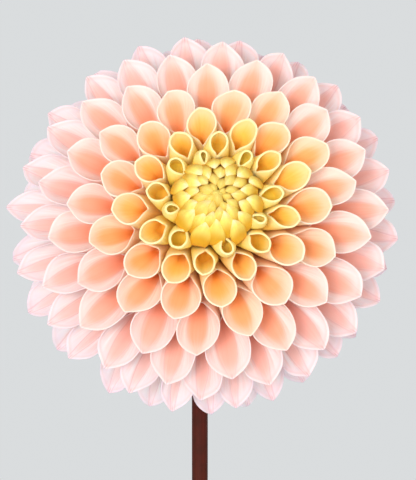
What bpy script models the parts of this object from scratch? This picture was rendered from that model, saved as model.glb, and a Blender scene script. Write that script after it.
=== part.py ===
"""A ball dahlia on its bare stem, standing in a plain bottle vase.

Metres, +Z up. The origin is the middle of the vase's flat base, and the bloom
faces -Y. The florets follow one golden-angle spiral from the bud heart to the
back of the bloom. Each floret is a cup that keeps to its own cell of that
spiral, so that no two florets meet.
"""

import math

import bmesh
import bpy
from mathutils import Vector

MM = 0.001
GAP = 0.3 * MM                   # left between two pieces that touch

# ---- vase -------------------------------------------------------------------
VASE_OUTLINE = [  # radius and height of the outer wall, foot to lip
    (34.0, 0.0), (38.6, 10.0), (42.5, 36.0), (41.2, 66.0), (33.0, 92.0),
    (19.5, 114.0), (13.8, 130.0), (13.0, 144.0), (16.2, 160.0),
]
VASE_WALL = 3.0 * MM
VASE_FLOOR = 6.0 * MM
VASE_FLOOR_ROUND = 2.0 * MM      # the inside corner at the floor
VASE_LIP_RISE = 0.8 * MM
VASE_LIP_THINNING = 0.5 * MM
VASE_TURNS = 32
NECK_HEIGHT = 144.0 * MM
NECK_BORE = 10.0 * MM

# ---- stem -------------------------------------------------------------------
STEM_RADIUS = 2.4 * MM
STEM_SIDES = 10
STEM_FOOT_BACK = 4.0 * MM       # the cut end stands this far behind the middle
STEM_FOOT_SIDE = 1.6 * MM
STEM_BEND_HEIGHT = 270.0 * MM   # the straight part ends here
STEM_BEND_STEPS = 9
STEM_BEND_PULL = 0.42            # handles of the bend, as a share of its span
STEM_FOOT_CLEAR = GAP + 0.25 * MM
STEM_NECK_CLEAR = GAP + 0.1 * MM
STEM_TOP_CLEAR = GAP + 0.15 * MM

# ---- bloom frame ------------------------------------------------------------
BLOOM_CENTRE = Vector((0.0, -51.0, 300.0)) * MM
BLOOM_TILT = math.radians(14.5)  # the face looks up by this much
BLOOM_RADIUS = 55.0 * MM
DOME_DEPTH = 43.0 * MM           # front of the bloom, ahead of its widest row
BACK_DEPTH = 60.0 * MM           # the same for the rows that turn back
DRIFT_SIDE = 5.2 * MM            # the face's middle stands off the stem's axis
DRIFT_POWER = 4                  # the inner and middle rows share most of it
FACE_RISE, RIM_RISE = -3.2 * MM, 1.7 * MM   # up the face, at its middle and at its rim

# ---- spiral -----------------------------------------------------------------
GOLDEN_ANGLE = math.pi * (3.0 - math.sqrt(5.0))
FIRST_AZIMUTH = 1.904
TIP_START = 9.7                  # degrees from the bloom's axis, floret 0
TIP_STEP = 0.722
TIP_SPREAD, TIP_SPREAD_COUNT = 3.5, 34.0
TIP_OVERHANG = 5.2               # an open floret's tip lies outside its middle
BUD_OVERHANG, BUD_OVERHANG_COUNT = 7.5, 14.0
BUD_COUNT = 40
BUD_EDGE = 8.3                   # degrees, the outermost closed bud
BUD_GROWTH = 0.62
BUD_SIDES = 5
BUD_FOOT_WIDTH = 0.75            # of the bud's own width
BUD_SINK = 2.2 * MM              # a bud's foot below the heart's surface
BUD_SHOULDER = 0.3 * MM          # and its shoulder above it
BUD_PEAK = 0.9                   # height of the point, in half widths
BUD_LEAN = 0.8                   # the point leans to the middle by this share
HEART_RISE = 2.0 * MM            # the heart stands proud of the dome
HEART_FALL = 4.5 * MM            # and drops this much to its edge
HEART_CORE = ((2.0, 0.02), (5.0, 0.02), (6.6, 0.45), (8.2, 0.86))  # degrees, share
HEART_CAP = (8.6, 6.0, 3.0)      # degrees
HEART_TURNS = 20

# ---- receptacle -------------------------------------------------------------
RECEPTACLE_RADIUS = 11.0 * MM
RECEPTACLE_SET_BACK = 6.0 * MM
RECEPTACLE_TURNS = 18
RECEPTACLE_ROUND = (0, 20, 40, 60, 80, 100, 118)   # degrees of its round front
RECEPTACLE_NECK = ((7.6 * MM, -14.2 * MM), (4.4 * MM, -16.8 * MM))
CALYX_BACK = 19.0 * MM
FOOT_START = math.radians(14.0)
FOOT_SPREAD = 0.82
PETAL_ARCH = math.radians(14.0)  # how far the outer petals rise before they turn

# ---- florets ----------------------------------------------------------------
PETAL_WALL = 0.8 * MM
PETAL_SIDES = 8
CELL_FILL = 0.445                # half width over the root of the cell's area
FOOT_LIFT = 0.012                # share of the length left free at the foot
FOOT_WIDTH = 0.76                # of the cell's width; 1 at the lip
FOOT_TAPER = 0.2                 # true width at the foot over that at the lip
HOLLOW_SHARE = 0.55              # the throat ends this far up
HOLLOW_WIDTH = 0.9
CLOSED_LEVEL, CLOSED_WIDTH = 0.96, 0.8
SEAM_TOP, SEAM_DROP, SEAM_LOWEST = 0.94, 0.26, 90
FIRST_OPEN = 4
LAST_STRAIGHT = 26               # the florets before this one hardly arch
STRAIGHT_LEVELS = (0.0, 1.0)
ARCHED_LEVELS = (0.0, 0.45, 1.0)
RING_ROWS = {"floret_ring_1": (0, 13), "floret_ring_2": (13, 26),
             "floret_ring_3": (26, 47), "floret_ring_4": (47, 68),
             "back_petal_ring": (109, 130)}
LOOSE_PETALS = (68, 109)
COLLAR_HEIGHT = 0.24
COLLAR_RADIUS = 0.3 * MM
COLLAR_SIDES = 4

# ---- bracts -----------------------------------------------------------------
OUTER_BRACTS = 6
BRACT_LENGTH = 17.0 * MM
BRACT_WIDTH = 8.0 * MM
BRACT_THICKNESS = 1.0 * MM
BRACT_TAPER = 0.45
BRACT_ROOT = Vector((9.25, -13.2)) * MM     # radius and depth
BRACT_BEND = (math.radians(108.0), math.radians(148.0))
BRACT_SHARES = (0.0, 0.3, 0.62, 0.88, 1.0)
BRACT_SIDES = 6
INNER_BRACT_LOBES = 8
INNER_BRACT_SEGMENTS = 32
INNER_BRACT_THICKNESS = 0.6 * MM
INNER_BRACT_ANGLE = math.radians(121.0)
INNER_BRACT_ROOT = 0.012                    # share of a floret's length there
INNER_BRACT_TIPS = (0.24, 0.30)             # between two lobes, and on a lobe
INNER_BRACT_ROUND = 0.7

FINISHES = {  # colour, roughness
    "glazed_vase": ((0.80, 0.77, 0.70), 0.18),
    "stem_red": ((0.105, 0.028, 0.022), 0.5),
    "bract_green": ((0.20, 0.27, 0.07), 0.55),
    "bud_yellow": ((0.90, 0.74, 0.22), 0.55),
    "petal_gold": ((0.92, 0.62, 0.20), 0.55),
    "petal_apricot": ((0.93, 0.47, 0.27), 0.55),
    "petal_salmon": ((0.93, 0.50, 0.40), 0.55),
    "petal_blush": ((0.93, 0.66, 0.64), 0.6),
}


# ---- scene helpers ----------------------------------------------------------
def clear_scene():
    for thing in list(bpy.data.objects):
        bpy.data.objects.remove(thing, do_unlink=True)


def add_node(name, mesh_data, finish):
    """Make a named object with a material of its own, shaded smooth."""
    vertices, faces = mesh_data
    mesh = bpy.data.meshes.new(name)
    mesh.from_pydata([tuple(v) for v in vertices], [], faces)
    mesh.update()
    thing = bpy.data.objects.new(name, mesh)
    bpy.context.scene.collection.objects.link(thing)
    colour, roughness = FINISHES[finish]
    material = bpy.data.materials.new(name + "_" + finish)
    material.use_nodes = True
    shader = material.node_tree.nodes["Principled BSDF"]
    shader.inputs["Base Color"].default_value = (*colour, 1.0)
    shader.inputs["Roughness"].default_value = roughness
    mesh.materials.append(material)
    mesh.shade_smooth()
    mesh.set_sharp_from_angle(angle=math.radians(40.0))
    return thing


def hide_cutter(thing):
    thing.hide_render = True
    thing.display_type = "WIRE"


def merge_meshes(parts):
    """Put several vertex and face lists into one."""
    vertices, faces = [], []
    for part_vertices, part_faces in parts:
        start = len(vertices)
        vertices.extend(part_vertices)
        faces.extend([tuple(start + i for i in face) for face in part_faces])
    return vertices, faces


def unite(body, addition, name):
    """Join a hidden addition to a body with a Boolean union."""
    hide_cutter(addition)
    union = body.modifiers.new(name, "BOOLEAN")
    union.operation = "UNION"
    union.object = addition
    union.use_self = True


def skin_rings(rings, close_start=True, close_end=True):
    """Faces between rings of equal count, with a flat cap at each end."""
    count = len(rings[0])
    vertices = [point for ring in rings for point in ring]
    faces = []
    for row in range(len(rings) - 1):
        low, high = row * count, (row + 1) * count
        for i in range(count):
            j = (i + 1) % count
            faces.append((low + i, low + j, high + j, high + i))
    if close_start:
        faces.append(tuple(reversed(range(count))))
    if close_end:
        last = (len(rings) - 1) * count
        faces.append(tuple(range(last, last + count)))
    return vertices, faces


def smooth_outline(points, steps):
    """Points along a Catmull-Rom curve through a few outline points."""
    curve = []
    ends = [points[0]] + list(points) + [points[-1]]
    for k in range(1, len(ends) - 2):
        a, b, c, d = (Vector(p) for p in ends[k - 1:k + 3])
        for step in range(steps):
            t = step / steps
            curve.append(0.5 * ((2 * b) + (c - a) * t + (2 * a - 5 * b + 4 * c - d) * t ** 2
                                + (3 * b - 3 * c + d - a) * t ** 3))
    curve.append(Vector(points[-1]))
    return curve


# ---- bloom geometry ---------------------------------------------------------
def bloom_to_world(side, rise, depth):
    """Bloom coordinates: to the right, up its face, and out along its axis."""
    tilt_sin, tilt_cos = math.sin(BLOOM_TILT), math.cos(BLOOM_TILT)
    return BLOOM_CENTRE + Vector((side, rise * tilt_sin - depth * tilt_cos,
                                  rise * tilt_cos + depth * tilt_sin))


def meridian(theta, share):
    """Radius and depth at a share of the way from the receptacle to the dome."""
    foot_angle = FOOT_START + FOOT_SPREAD * theta
    foot = Vector((RECEPTACLE_RADIUS * math.sin(foot_angle),
                   RECEPTACLE_RADIUS * math.cos(foot_angle) - RECEPTACLE_SET_BACK))
    depth = DOME_DEPTH if math.cos(theta) > 0.0 else BACK_DEPTH
    tip = Vector((BLOOM_RADIUS * math.sin(theta), depth * math.cos(theta)))
    reach = tip - foot
    arch = PETAL_ARCH * (theta / (math.pi / 2)) ** 2
    lean = math.atan2(reach.x, reach.y) - arch
    knee = foot + 0.5 * reach.length * Vector((math.sin(lean), math.cos(lean)))
    return foot * (1 - share) ** 2 + knee * 2 * share * (1 - share) + tip * share ** 2


def drift(theta):
    """Sideways and upward shift of the rows at an angle from the bloom's axis."""
    turned = min(theta / (math.pi / 2), 1.0)
    face = math.cos(turned * math.pi / 2)
    return DRIFT_SIDE * (1 - turned ** DRIFT_POWER), RIM_RISE + (FACE_RISE - RIM_RISE) * face


def bloom_point(theta, azimuth, share):
    radius, depth = meridian(theta, share)
    side, rise = drift(theta)
    return bloom_to_world(radius * math.cos(azimuth) + side * share,
                          radius * math.sin(azimuth) + rise * share, depth)


def azimuth_of(index):
    return FIRST_AZIMUTH - GOLDEN_ANGLE * index


def middle_angle(index):
    """Angle from the bloom's axis to the middle of a floret's cell, in degrees."""
    if index < 0:
        return BUD_EDGE * ((index + BUD_COUNT + 1) / BUD_COUNT) ** BUD_GROWTH
    tip = TIP_START + TIP_STEP * index
    tip += TIP_SPREAD * (1 - math.exp(-index / TIP_SPREAD_COUNT))
    return tip - TIP_OVERHANG + BUD_OVERHANG * math.exp(-index / BUD_OVERHANG_COUNT)


def cell_of(index):
    """The middle angle, azimuth and two half widths of a floret's cell."""
    theta = math.radians(middle_angle(index))
    ahead = index + (0.0 if index == -1 else 0.5)
    behind = index - (0.0 if index == 0 else 0.5)
    step = math.radians(middle_angle(ahead) - middle_angle(behind)) / (ahead - behind)
    along = math.hypot(BLOOM_RADIUS * math.cos(theta), DOME_DEPTH * math.sin(theta))
    across = BLOOM_RADIUS * math.sin(theta)
    width = CELL_FILL * math.sqrt(2 * math.pi * across * along * step)
    return theta, azimuth_of(index), width / along, width / across, width


def seam_share(index):
    """How far up a floret its inner seam stays closed."""
    return SEAM_TOP - SEAM_DROP * min(index, SEAM_LOWEST) / SEAM_LOWEST


def floret_ring(index, level, width_share, wall=0.0):
    """One ring of a floret's wall; level runs from 0 at the foot to 1 at the lip."""
    theta, azimuth, half_theta, half_azimuth, width = cell_of(index)
    seam = seam_share(index)
    ring = []
    for k in range(PETAL_SIDES):
        turn = 2 * math.pi * k / PETAL_SIDES
        lip = seam + (1 - seam) * (0.5 + 0.5 * math.cos(turn))
        share = FOOT_LIFT + (lip - FOOT_LIFT) * level
        local = width * (FOOT_TAPER + (1 - FOOT_TAPER) * share)
        scale = width_share * (1 - wall / local)
        ring.append(bloom_point(theta + half_theta * scale * math.cos(turn),
                                azimuth - half_azimuth * scale * math.sin(turn), share))
    return ring


def floret_mesh(index, levels):
    """A tapered tube, open and cut aslant at the lip, and solid near its foot."""
    rings = [floret_ring(index, level, FOOT_WIDTH + (1 - FOOT_WIDTH) * level) for level in levels]
    if index >= FIRST_OPEN:
        rings.append(floret_ring(index, 1.0, 1.0, PETAL_WALL))
        rings.append(floret_ring(index, HOLLOW_SHARE, HOLLOW_WIDTH, PETAL_WALL))
    else:
        rings[-1] = floret_ring(index, CLOSED_LEVEL, CLOSED_WIDTH)
    return skin_rings(rings)


def collar_mesh(indices):
    """A thin closed ring that joins neighbouring florets near their feet."""
    order = sorted(indices, key=lambda n: azimuth_of(n) % (2 * math.pi))
    middles = []
    for index, following in zip(order, order[1:] + order[:1]):
        theta, azimuth, *_ = cell_of(index)
        next_theta, next_azimuth, *_ = cell_of(following)
        half_turn = 0.5 * ((next_azimuth - azimuth) % (2 * math.pi))
        middles.append(bloom_point(theta, azimuth, COLLAR_HEIGHT))
        middles.append(bloom_point(0.5 * (theta + next_theta), azimuth + half_turn, COLLAR_HEIGHT))
    heart = bloom_to_world(0.0, 0.0, -RECEPTACLE_SET_BACK)
    rings = []
    for k, middle in enumerate(middles):
        ahead = middles[(k + 1) % len(middles)] - middles[k - 1]
        outward = (middle - heart).normalized()
        across = ahead.cross(outward).normalized()
        outward = across.cross(ahead).normalized()
        ring = []
        for side in range(COLLAR_SIDES):
            turn = 2 * math.pi * side / COLLAR_SIDES
            ring.append(middle + COLLAR_RADIUS * (math.cos(turn) * outward
                                                  + math.sin(turn) * across))
        rings.append(ring)
    vertices, faces = skin_rings(rings, False, False)
    last, count = (len(rings) - 1) * COLLAR_SIDES, COLLAR_SIDES
    for i in range(count):
        j = (i + 1) % count
        faces.append((last + i, last + j, j, i))
    return vertices, faces


def face_outwards(thing):
    """Make all of a closed mesh's faces flat, and turn them to point out."""
    shape = bmesh.new()
    shape.from_mesh(thing.data)
    bmesh.ops.triangulate(shape, faces=shape.faces)
    bmesh.ops.recalc_face_normals(shape, faces=shape.faces)
    shape.to_mesh(thing.data)
    shape.free()


# ---- pieces -----------------------------------------------------------------
def add_ring_row(name, first, last, finish):
    """A row of florets on one thin collar, as one body."""
    levels = STRAIGHT_LEVELS if last <= LAST_STRAIGHT else ARCHED_LEVELS
    florets = [floret_mesh(n, levels) for n in range(first, last)]
    row = add_node(name + "_florets", merge_meshes(florets), finish)
    body = add_node(name, collar_mesh(range(first, last)), finish)
    face_outwards(row)
    face_outwards(body)
    unite(body, row, "join_florets")


def add_loose_petals(first, last, finish):
    """The outer petals, each a node of its own."""
    for index in range(first, last):
        name = "petal_%02d" % (index - first + 1)
        petal = add_node(name, floret_mesh(index, ARCHED_LEVELS), finish)
        face_outwards(petal)


def heart_depth(theta):
    """The bud heart is a low dome that stands a little proud of the bloom."""
    edge = math.radians(BUD_EDGE)
    return DOME_DEPTH + HEART_RISE - HEART_FALL * (theta / edge) ** 2


def heart_point(theta, azimuth, drop):
    radius = BLOOM_RADIUS * math.sin(theta)
    side, rise = drift(theta)
    return bloom_to_world(radius * math.cos(azimuth) + side, radius * math.sin(azimuth) + rise,
                          heart_depth(theta) - drop)


def add_bud_heart():
    """The closed young florets on the short core that carries them."""
    azimuths = [2 * math.pi * k / HEART_TURNS for k in range(HEART_TURNS)]
    rings = [[bloom_point(math.radians(degrees), azimuth, share) for azimuth in azimuths]
             for degrees, share in HEART_CORE]
    rings += [[heart_point(math.radians(degrees), azimuth, 0.0) for azimuth in azimuths]
              for degrees in HEART_CAP]
    heart = add_node("bud_heart", skin_rings(rings), "bud_yellow")
    face_outwards(heart)
    buds = []
    for index in range(-BUD_COUNT, 0):
        theta, azimuth, half_theta, half_azimuth, width = cell_of(index)
        lower, upper = [], []
        for k in range(BUD_SIDES):
            turn = 2 * math.pi * k / BUD_SIDES
            out, aside = half_theta * math.cos(turn), half_azimuth * math.sin(turn)
            lower.append(heart_point(theta + BUD_FOOT_WIDTH * out,
                                     azimuth + BUD_FOOT_WIDTH * aside, BUD_SINK))
            upper.append(heart_point(theta + out, azimuth + aside, -BUD_SHOULDER))
        tip = heart_point(max(theta - BUD_LEAN * half_theta, 0.0), azimuth,
                          -BUD_SHOULDER - BUD_PEAK * width)
        vertices, faces = skin_rings([lower, upper], True, False)
        vertices.append(tip)
        faces.extend([(BUD_SIDES + k, BUD_SIDES + (k + 1) % BUD_SIDES, 2 * BUD_SIDES)
                      for k in range(BUD_SIDES)])
        buds.append((vertices, faces))
    scales = add_node("bud_scales", merge_meshes(buds), "bud_yellow")
    face_outwards(scales)
    unite(heart, scales, "join_buds")


def lathe(outline, turns, place):
    """Turn a closed outline of radius and height pairs; place maps it to the world."""
    vertices, faces = [], []
    count = len(outline)
    ring_start = []
    for radius, height in outline:
        ring_start.append(len(vertices))
        if radius < 1e-6:
            vertices.append(place(0.0, 0.0, height))
            continue
        for k in range(turns):
            turn = 2 * math.pi * k / turns
            vertices.append(place(radius * math.cos(turn), radius * math.sin(turn), height))
    for row in range(count - 1):
        low, high = ring_start[row], ring_start[row + 1]
        low_point, high_point = outline[row][0] < 1e-6, outline[row + 1][0] < 1e-6
        for k in range(turns):
            j = (k + 1) % turns
            if low_point:
                faces.append((low, high + k, high + j))
            elif high_point:
                faces.append((low + k, low + j, high))
            else:
                faces.append((low + k, low + j, high + j, high + k))
    return vertices, faces


def add_receptacle():
    """The fleshy head of the stem, round in front and narrowed to the stem behind."""
    outline = []
    for degrees in RECEPTACLE_ROUND:
        angle = math.radians(degrees)
        outline.append((RECEPTACLE_RADIUS * math.sin(angle),
                        RECEPTACLE_RADIUS * math.cos(angle) - RECEPTACLE_SET_BACK))
    outline += [*RECEPTACLE_NECK, (STEM_RADIUS, -CALYX_BACK), (0.0, -CALYX_BACK)]
    receptacle = add_node("receptacle", lathe(outline, RECEPTACLE_TURNS, bloom_to_world),
                          "bract_green")
    face_outwards(receptacle)


def add_inner_bracts():
    """One thin whorl of papery lobes behind the last petals."""
    root = meridian(INNER_BRACT_ANGLE, INNER_BRACT_ROOT)
    short_tip, long_tip = (meridian(INNER_BRACT_ANGLE, share) for share in INNER_BRACT_TIPS)
    rings = [[], [], [], []]
    half = 0.5 * INNER_BRACT_THICKNESS
    for k in range(INNER_BRACT_SEGMENTS):
        turn = 2 * math.pi * k / INNER_BRACT_SEGMENTS
        lobe = abs(math.cos(0.5 * INNER_BRACT_LOBES * turn)) ** INNER_BRACT_ROUND
        edge = short_tip + (long_tip - short_tip) * lobe
        along = (edge - root).normalized()
        normal = Vector((-along.y, along.x))
        section = [root - normal * half, edge - normal * half,
                   edge + normal * half, root + normal * half]
        for ring, (radius, depth) in zip(rings, section):
            ring.append(bloom_to_world(radius * math.cos(turn), radius * math.sin(turn), depth))
    vertices, faces = skin_rings(rings, False, False)
    count = INNER_BRACT_SEGMENTS
    for i in range(count):
        j = (i + 1) % count
        faces.append((3 * count + i, 3 * count + j, j, i))
    face_outwards(add_node("inner_bracts", (vertices, faces), "bract_green"))


def add_outer_bracts():
    """Fleshy green bracts that curl back towards the stem."""
    first_bend, last_bend = BRACT_BEND
    for number in range(OUTER_BRACTS):
        azimuth = 2 * math.pi * (number + 0.5) / OUTER_BRACTS
        rings = []
        for share in BRACT_SHARES:
            bend = first_bend + (last_bend - first_bend) * share
            reach = BRACT_LENGTH * share
            middle = BRACT_ROOT + reach * Vector((math.sin(bend), math.cos(bend)))
            normal = Vector((-math.cos(bend), math.sin(bend)))
            # half the width at the root, full a third of the way up, and a tenth at the tip
            half_width = 0.5 * BRACT_WIDTH * (0.55 + 1.5 * share - 1.95 * share ** 2)
            half_thick = 0.5 * BRACT_THICKNESS * (1.0 - BRACT_TAPER * share)
            ring = []
            for k in range(BRACT_SIDES):
                turn = 2 * math.pi * k / BRACT_SIDES
                spot = middle + normal * half_thick * math.sin(turn)
                side = half_width * math.cos(turn)
                ring.append(bloom_to_world(
                    spot.x * math.cos(azimuth) - side * math.sin(azimuth),
                    spot.x * math.sin(azimuth) + side * math.cos(azimuth), spot.y))
            rings.append(ring)
        name = "outer_bract_%d" % (number + 1)
        face_outwards(add_node(name, skin_rings(rings), "bract_green"))


def stem_route():
    """Points and radii along the stem, from its cut end up to the receptacle."""
    rest = Vector((0.0, -(NECK_BORE - STEM_RADIUS - STEM_NECK_CLEAR), NECK_HEIGHT))
    foot = Vector((STEM_FOOT_SIDE, STEM_FOOT_BACK, VASE_FLOOR + STEM_FOOT_CLEAR))
    lean = (rest - foot) / (rest.z - foot.z)
    bend = rest + lean * (STEM_BEND_HEIGHT - rest.z)
    bend.x = 0.0
    axis = bloom_to_world(0.0, 0.0, 1.0) - bloom_to_world(0.0, 0.0, 0.0)
    end = bloom_to_world(0.0, 0.0, -CALYX_BACK - STEM_TOP_CLEAR)
    points = [foot, foot.lerp(rest, 0.5), rest, rest.lerp(bend, 0.45), bend]
    reach = STEM_BEND_PULL * (end - bend).length
    corners = (bend, bend + lean.normalized() * reach, end - axis.normalized() * reach, end)
    for step in range(1, STEM_BEND_STEPS + 1):
        t = step / STEM_BEND_STEPS
        weights = ((1 - t) ** 3, 3 * t * (1 - t) ** 2, 3 * t ** 2 * (1 - t), t ** 3)
        points.append(sum((w * c for w, c in zip(weights, corners)), Vector()))
    return points


def add_stem():
    points = stem_route()
    side = Vector((1.0, 0.0, 0.0))
    rings = []
    for k, point in enumerate(points):
        ahead = points[min(k + 1, len(points) - 1)] - points[max(k - 1, 0)]
        back = ahead.cross(side).normalized()
        across = back.cross(ahead).normalized()
        ring = []
        for corner in range(STEM_SIDES):
            turn = 2 * math.pi * corner / STEM_SIDES
            ring.append(point + STEM_RADIUS * (math.cos(turn) * across + math.sin(turn) * back))
        rings.append(ring)
    face_outwards(add_node("stem", skin_rings(rings), "stem_red"))


def add_vase():
    """One turned bottle: a full belly, a narrow neck and a lip that opens a little."""
    outer = [p * MM for p in smooth_outline(VASE_OUTLINE, 2)]
    inner = [Vector((p.x - VASE_WALL, p.y)) for p in outer[2::2]]
    inner[-1].x += VASE_LIP_THINNING
    lip = Vector((outer[-1].x - 0.5 * VASE_WALL, outer[-1].y + VASE_LIP_RISE))
    floor_edge = Vector((inner[0].x - VASE_FLOOR_ROUND, VASE_FLOOR))
    outline = [Vector((0.0, 0.0))] + outer + [lip] + inner[::-1]
    outline += [floor_edge, Vector((0.0, VASE_FLOOR))]
    vase = add_node("vase", lathe(outline, VASE_TURNS, lambda x, y, z: Vector((x, y, z))),
                    "glazed_vase")
    face_outwards(vase)


def main():
    clear_scene()
    add_vase()
    add_stem()
    add_receptacle()
    add_inner_bracts()
    add_outer_bracts()
    add_bud_heart()
    for (name, (first, last)), finish in zip(RING_ROWS.items(), (
            "petal_gold", "petal_apricot", "petal_salmon", "petal_salmon", "petal_blush")):
        add_ring_row(name, first, last, finish)
    add_loose_petals(*LOOSE_PETALS, "petal_blush")


main()
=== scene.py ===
"""A ball dahlia on its bare stem in a plain bottle vase: the looks.

Metres, +Z up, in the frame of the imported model. The bloom faces -Y. Each
sub-assembly is a class with its own sizes; each finish is a class that makes one
material. The floret laws are those of the model's source.
"""
import logging
import math
import random
from collections.abc import Sequence
from dataclasses import dataclass
from enum import Enum

import bpy
import numpy as np
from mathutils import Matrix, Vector


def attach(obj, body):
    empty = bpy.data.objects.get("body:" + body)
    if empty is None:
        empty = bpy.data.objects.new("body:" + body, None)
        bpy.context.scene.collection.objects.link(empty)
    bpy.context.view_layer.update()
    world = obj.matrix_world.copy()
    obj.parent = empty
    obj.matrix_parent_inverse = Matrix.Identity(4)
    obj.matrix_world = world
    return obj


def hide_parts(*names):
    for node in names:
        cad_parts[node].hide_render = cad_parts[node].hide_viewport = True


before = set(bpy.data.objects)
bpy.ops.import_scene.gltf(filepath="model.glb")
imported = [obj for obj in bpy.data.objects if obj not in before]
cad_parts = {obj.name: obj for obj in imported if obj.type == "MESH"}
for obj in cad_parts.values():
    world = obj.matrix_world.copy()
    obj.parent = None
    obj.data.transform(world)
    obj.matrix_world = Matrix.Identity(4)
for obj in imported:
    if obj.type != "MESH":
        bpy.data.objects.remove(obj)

LOG = logging.getLogger("dahlia")
MM = 0.001
BODY = "root"
COLOUR, NUMBER = "NodeSocketColor", "NodeSocketFloat"
GOLDEN_ANGLE = math.pi * (3.0 - math.sqrt(5.0))

Values = float | np.ndarray
Span = tuple[float, float]
Triple = tuple[float, float, float]
Numbers = tuple[float, ...]
Colour = tuple[float, float, float, float]
Socket = bpy.types.NodeSocket
Source = Socket | float | Colour


# ---- small helpers ----------------------------------------------------------
def tone(red: float, green: float, blue: float) -> Colour:
    """Turn a display colour of 0 to 255 into the linear colour that shaders use.

    Args:
        red: Red as displayed.
        green: Green as displayed.
        blue: Blue as displayed.

    Returns:
        The linear colour with an alpha of 1.
    """
    # The standard display curve: straight in the darkest shades, a power above them.
    shown = [level / 255.0 for level in (red, green, blue)]
    linear = [((c + 0.055) / 1.055) ** 2.4 if c > 0.0404 else c / 12.92 for c in shown]
    return (*linear, 1.0)


def ease(low: Values, high: Values, value: Values) -> Values:
    """Smooth step from 0 at low to 1 at high.

    Args:
        low: Where the step starts.
        high: Where it ends.
        value: A number or an array.

    Returns:
        The eased value, of the same kind as value.
    """
    t = np.clip((value - low) / (high - low), 0.0, 1.0)
    return t * t * (3.0 - 2.0 * t)


def blend(first: Values, last: Values, share: Values) -> Values:
    """Straight mix of two numbers or arrays by a share from 0 to 1."""
    return first + (last - first) * share


def bell(distance: Values, width: float) -> Values:
    """1 at no distance, falling away to almost nothing at twice the width."""
    return np.exp(-(distance / width) ** 2)


def sway(chance: random.Random, most: float) -> float:
    """Draw a number that lies at most so far to either side of 0."""
    return chance.uniform(-most, most)


def full_turn(count: int) -> np.ndarray:
    """Even angles once round a circle, as one row."""
    return 2 * math.pi * np.arange(count)[None, :] / count


def as_column(values: Sequence[float]) -> np.ndarray:
    """Numbers as a column, one for each ring of a tube."""
    return np.array(values)[:, None]


class Slot(Enum):
    """The record's material slots."""

    GLAZE = "glazed_vase"
    STEM = "stem_red"
    BRACT = "bract_green"
    BUD = "bud_yellow"
    GOLD = "petal_gold"
    APRICOT = "petal_apricot"
    SALMON = "petal_salmon"
    BLUSH = "petal_blush"


class Ends(Enum):
    """What becomes of the first and last ring of a tube."""

    CAPPED = "each closed with one face"
    JOINED = "joined to each other"


def add_object(name: str, data: bpy.types.ID) -> bpy.types.Object:
    """Make an object for a mesh, lamp or camera and link it to the scene.

    Args:
        name: The object's name.
        data: What it shows.

    Returns:
        The new object.
    """
    made = bpy.data.objects.new(name, data)
    bpy.context.scene.collection.objects.link(made)
    return made


class MeshParts:
    """Vertices, faces and per-point values of one piece, gathered ring by ring."""

    def __init__(self, names: tuple[str, ...]) -> None:
        """Start empty.

        Args:
            names: The names of the per-point values.
        """
        self.points: list[np.ndarray] = []
        self.faces: list[tuple[int, ...]] = []
        self.values: dict[str, list[np.ndarray]] = {name: [] for name in names}
        self.count = 0

    def add_tube(self, rings: np.ndarray, ends: Ends = Ends.CAPPED, **values: Values) -> None:
        """Add a tube of rings that each close on themselves.

        Args:
            rings: Points, as rings by points by 3.
            ends: How the tube ends.
            **values: Per-point values, each one number or as rings by points.
        """
        rows, around = rings.shape[:2]
        start, last = self.count, self.count + (rows - 1) * around
        self.points.append(rings.reshape(-1, 3))
        for name, held in self.values.items():
            held.append(np.broadcast_to(values[name], (rows, around)).reshape(-1))
        pairs = [(low, low + around) for low in range(start, last, around)]
        if ends is Ends.JOINED:
            pairs.append((last, start))
        for low, high in pairs:
            for i in range(around):
                j = (i + 1) % around
                self.faces.append((low + i, low + j, high + j, high + i))
        if ends is Ends.CAPPED:
            self.faces.append(tuple(range(start + around - 1, start - 1, -1)))
            self.faces.append(tuple(range(last, last + around)))
        self.count += rows * around

    def make(self, name: str, material: bpy.types.Material) -> bpy.types.Object:
        """Make the object, shaded smooth, with its point values as attributes.

        Args:
            name: The piece's name.
            material: Its material, or the first of them.

        Returns:
            The new object, linked to the scene.
        """
        mesh = bpy.data.meshes.new(name)
        mesh.from_pydata(np.concatenate(self.points).tolist(), [], self.faces)
        mesh.update()
        for value_name, held in self.values.items():
            layer = mesh.attributes.new(value_name, "FLOAT", "POINT")
            layer.data.foreach_set("value", np.concatenate(held).astype(np.float32))
        mesh.materials.append(material)
        mesh.shade_smooth()
        return add_object(name, mesh)


def fix(piece: bpy.types.Object, node: str) -> None:
    """Ride the piece on the body and hide the model's node that it stands for.

    Args:
        piece: The finished piece.
        node: The model's node that it replaces.
    """
    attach(piece, BODY)
    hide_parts(node)
    LOG.info("%s: %d faces, stands for %s", piece.name, len(piece.data.polygons), node)


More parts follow.
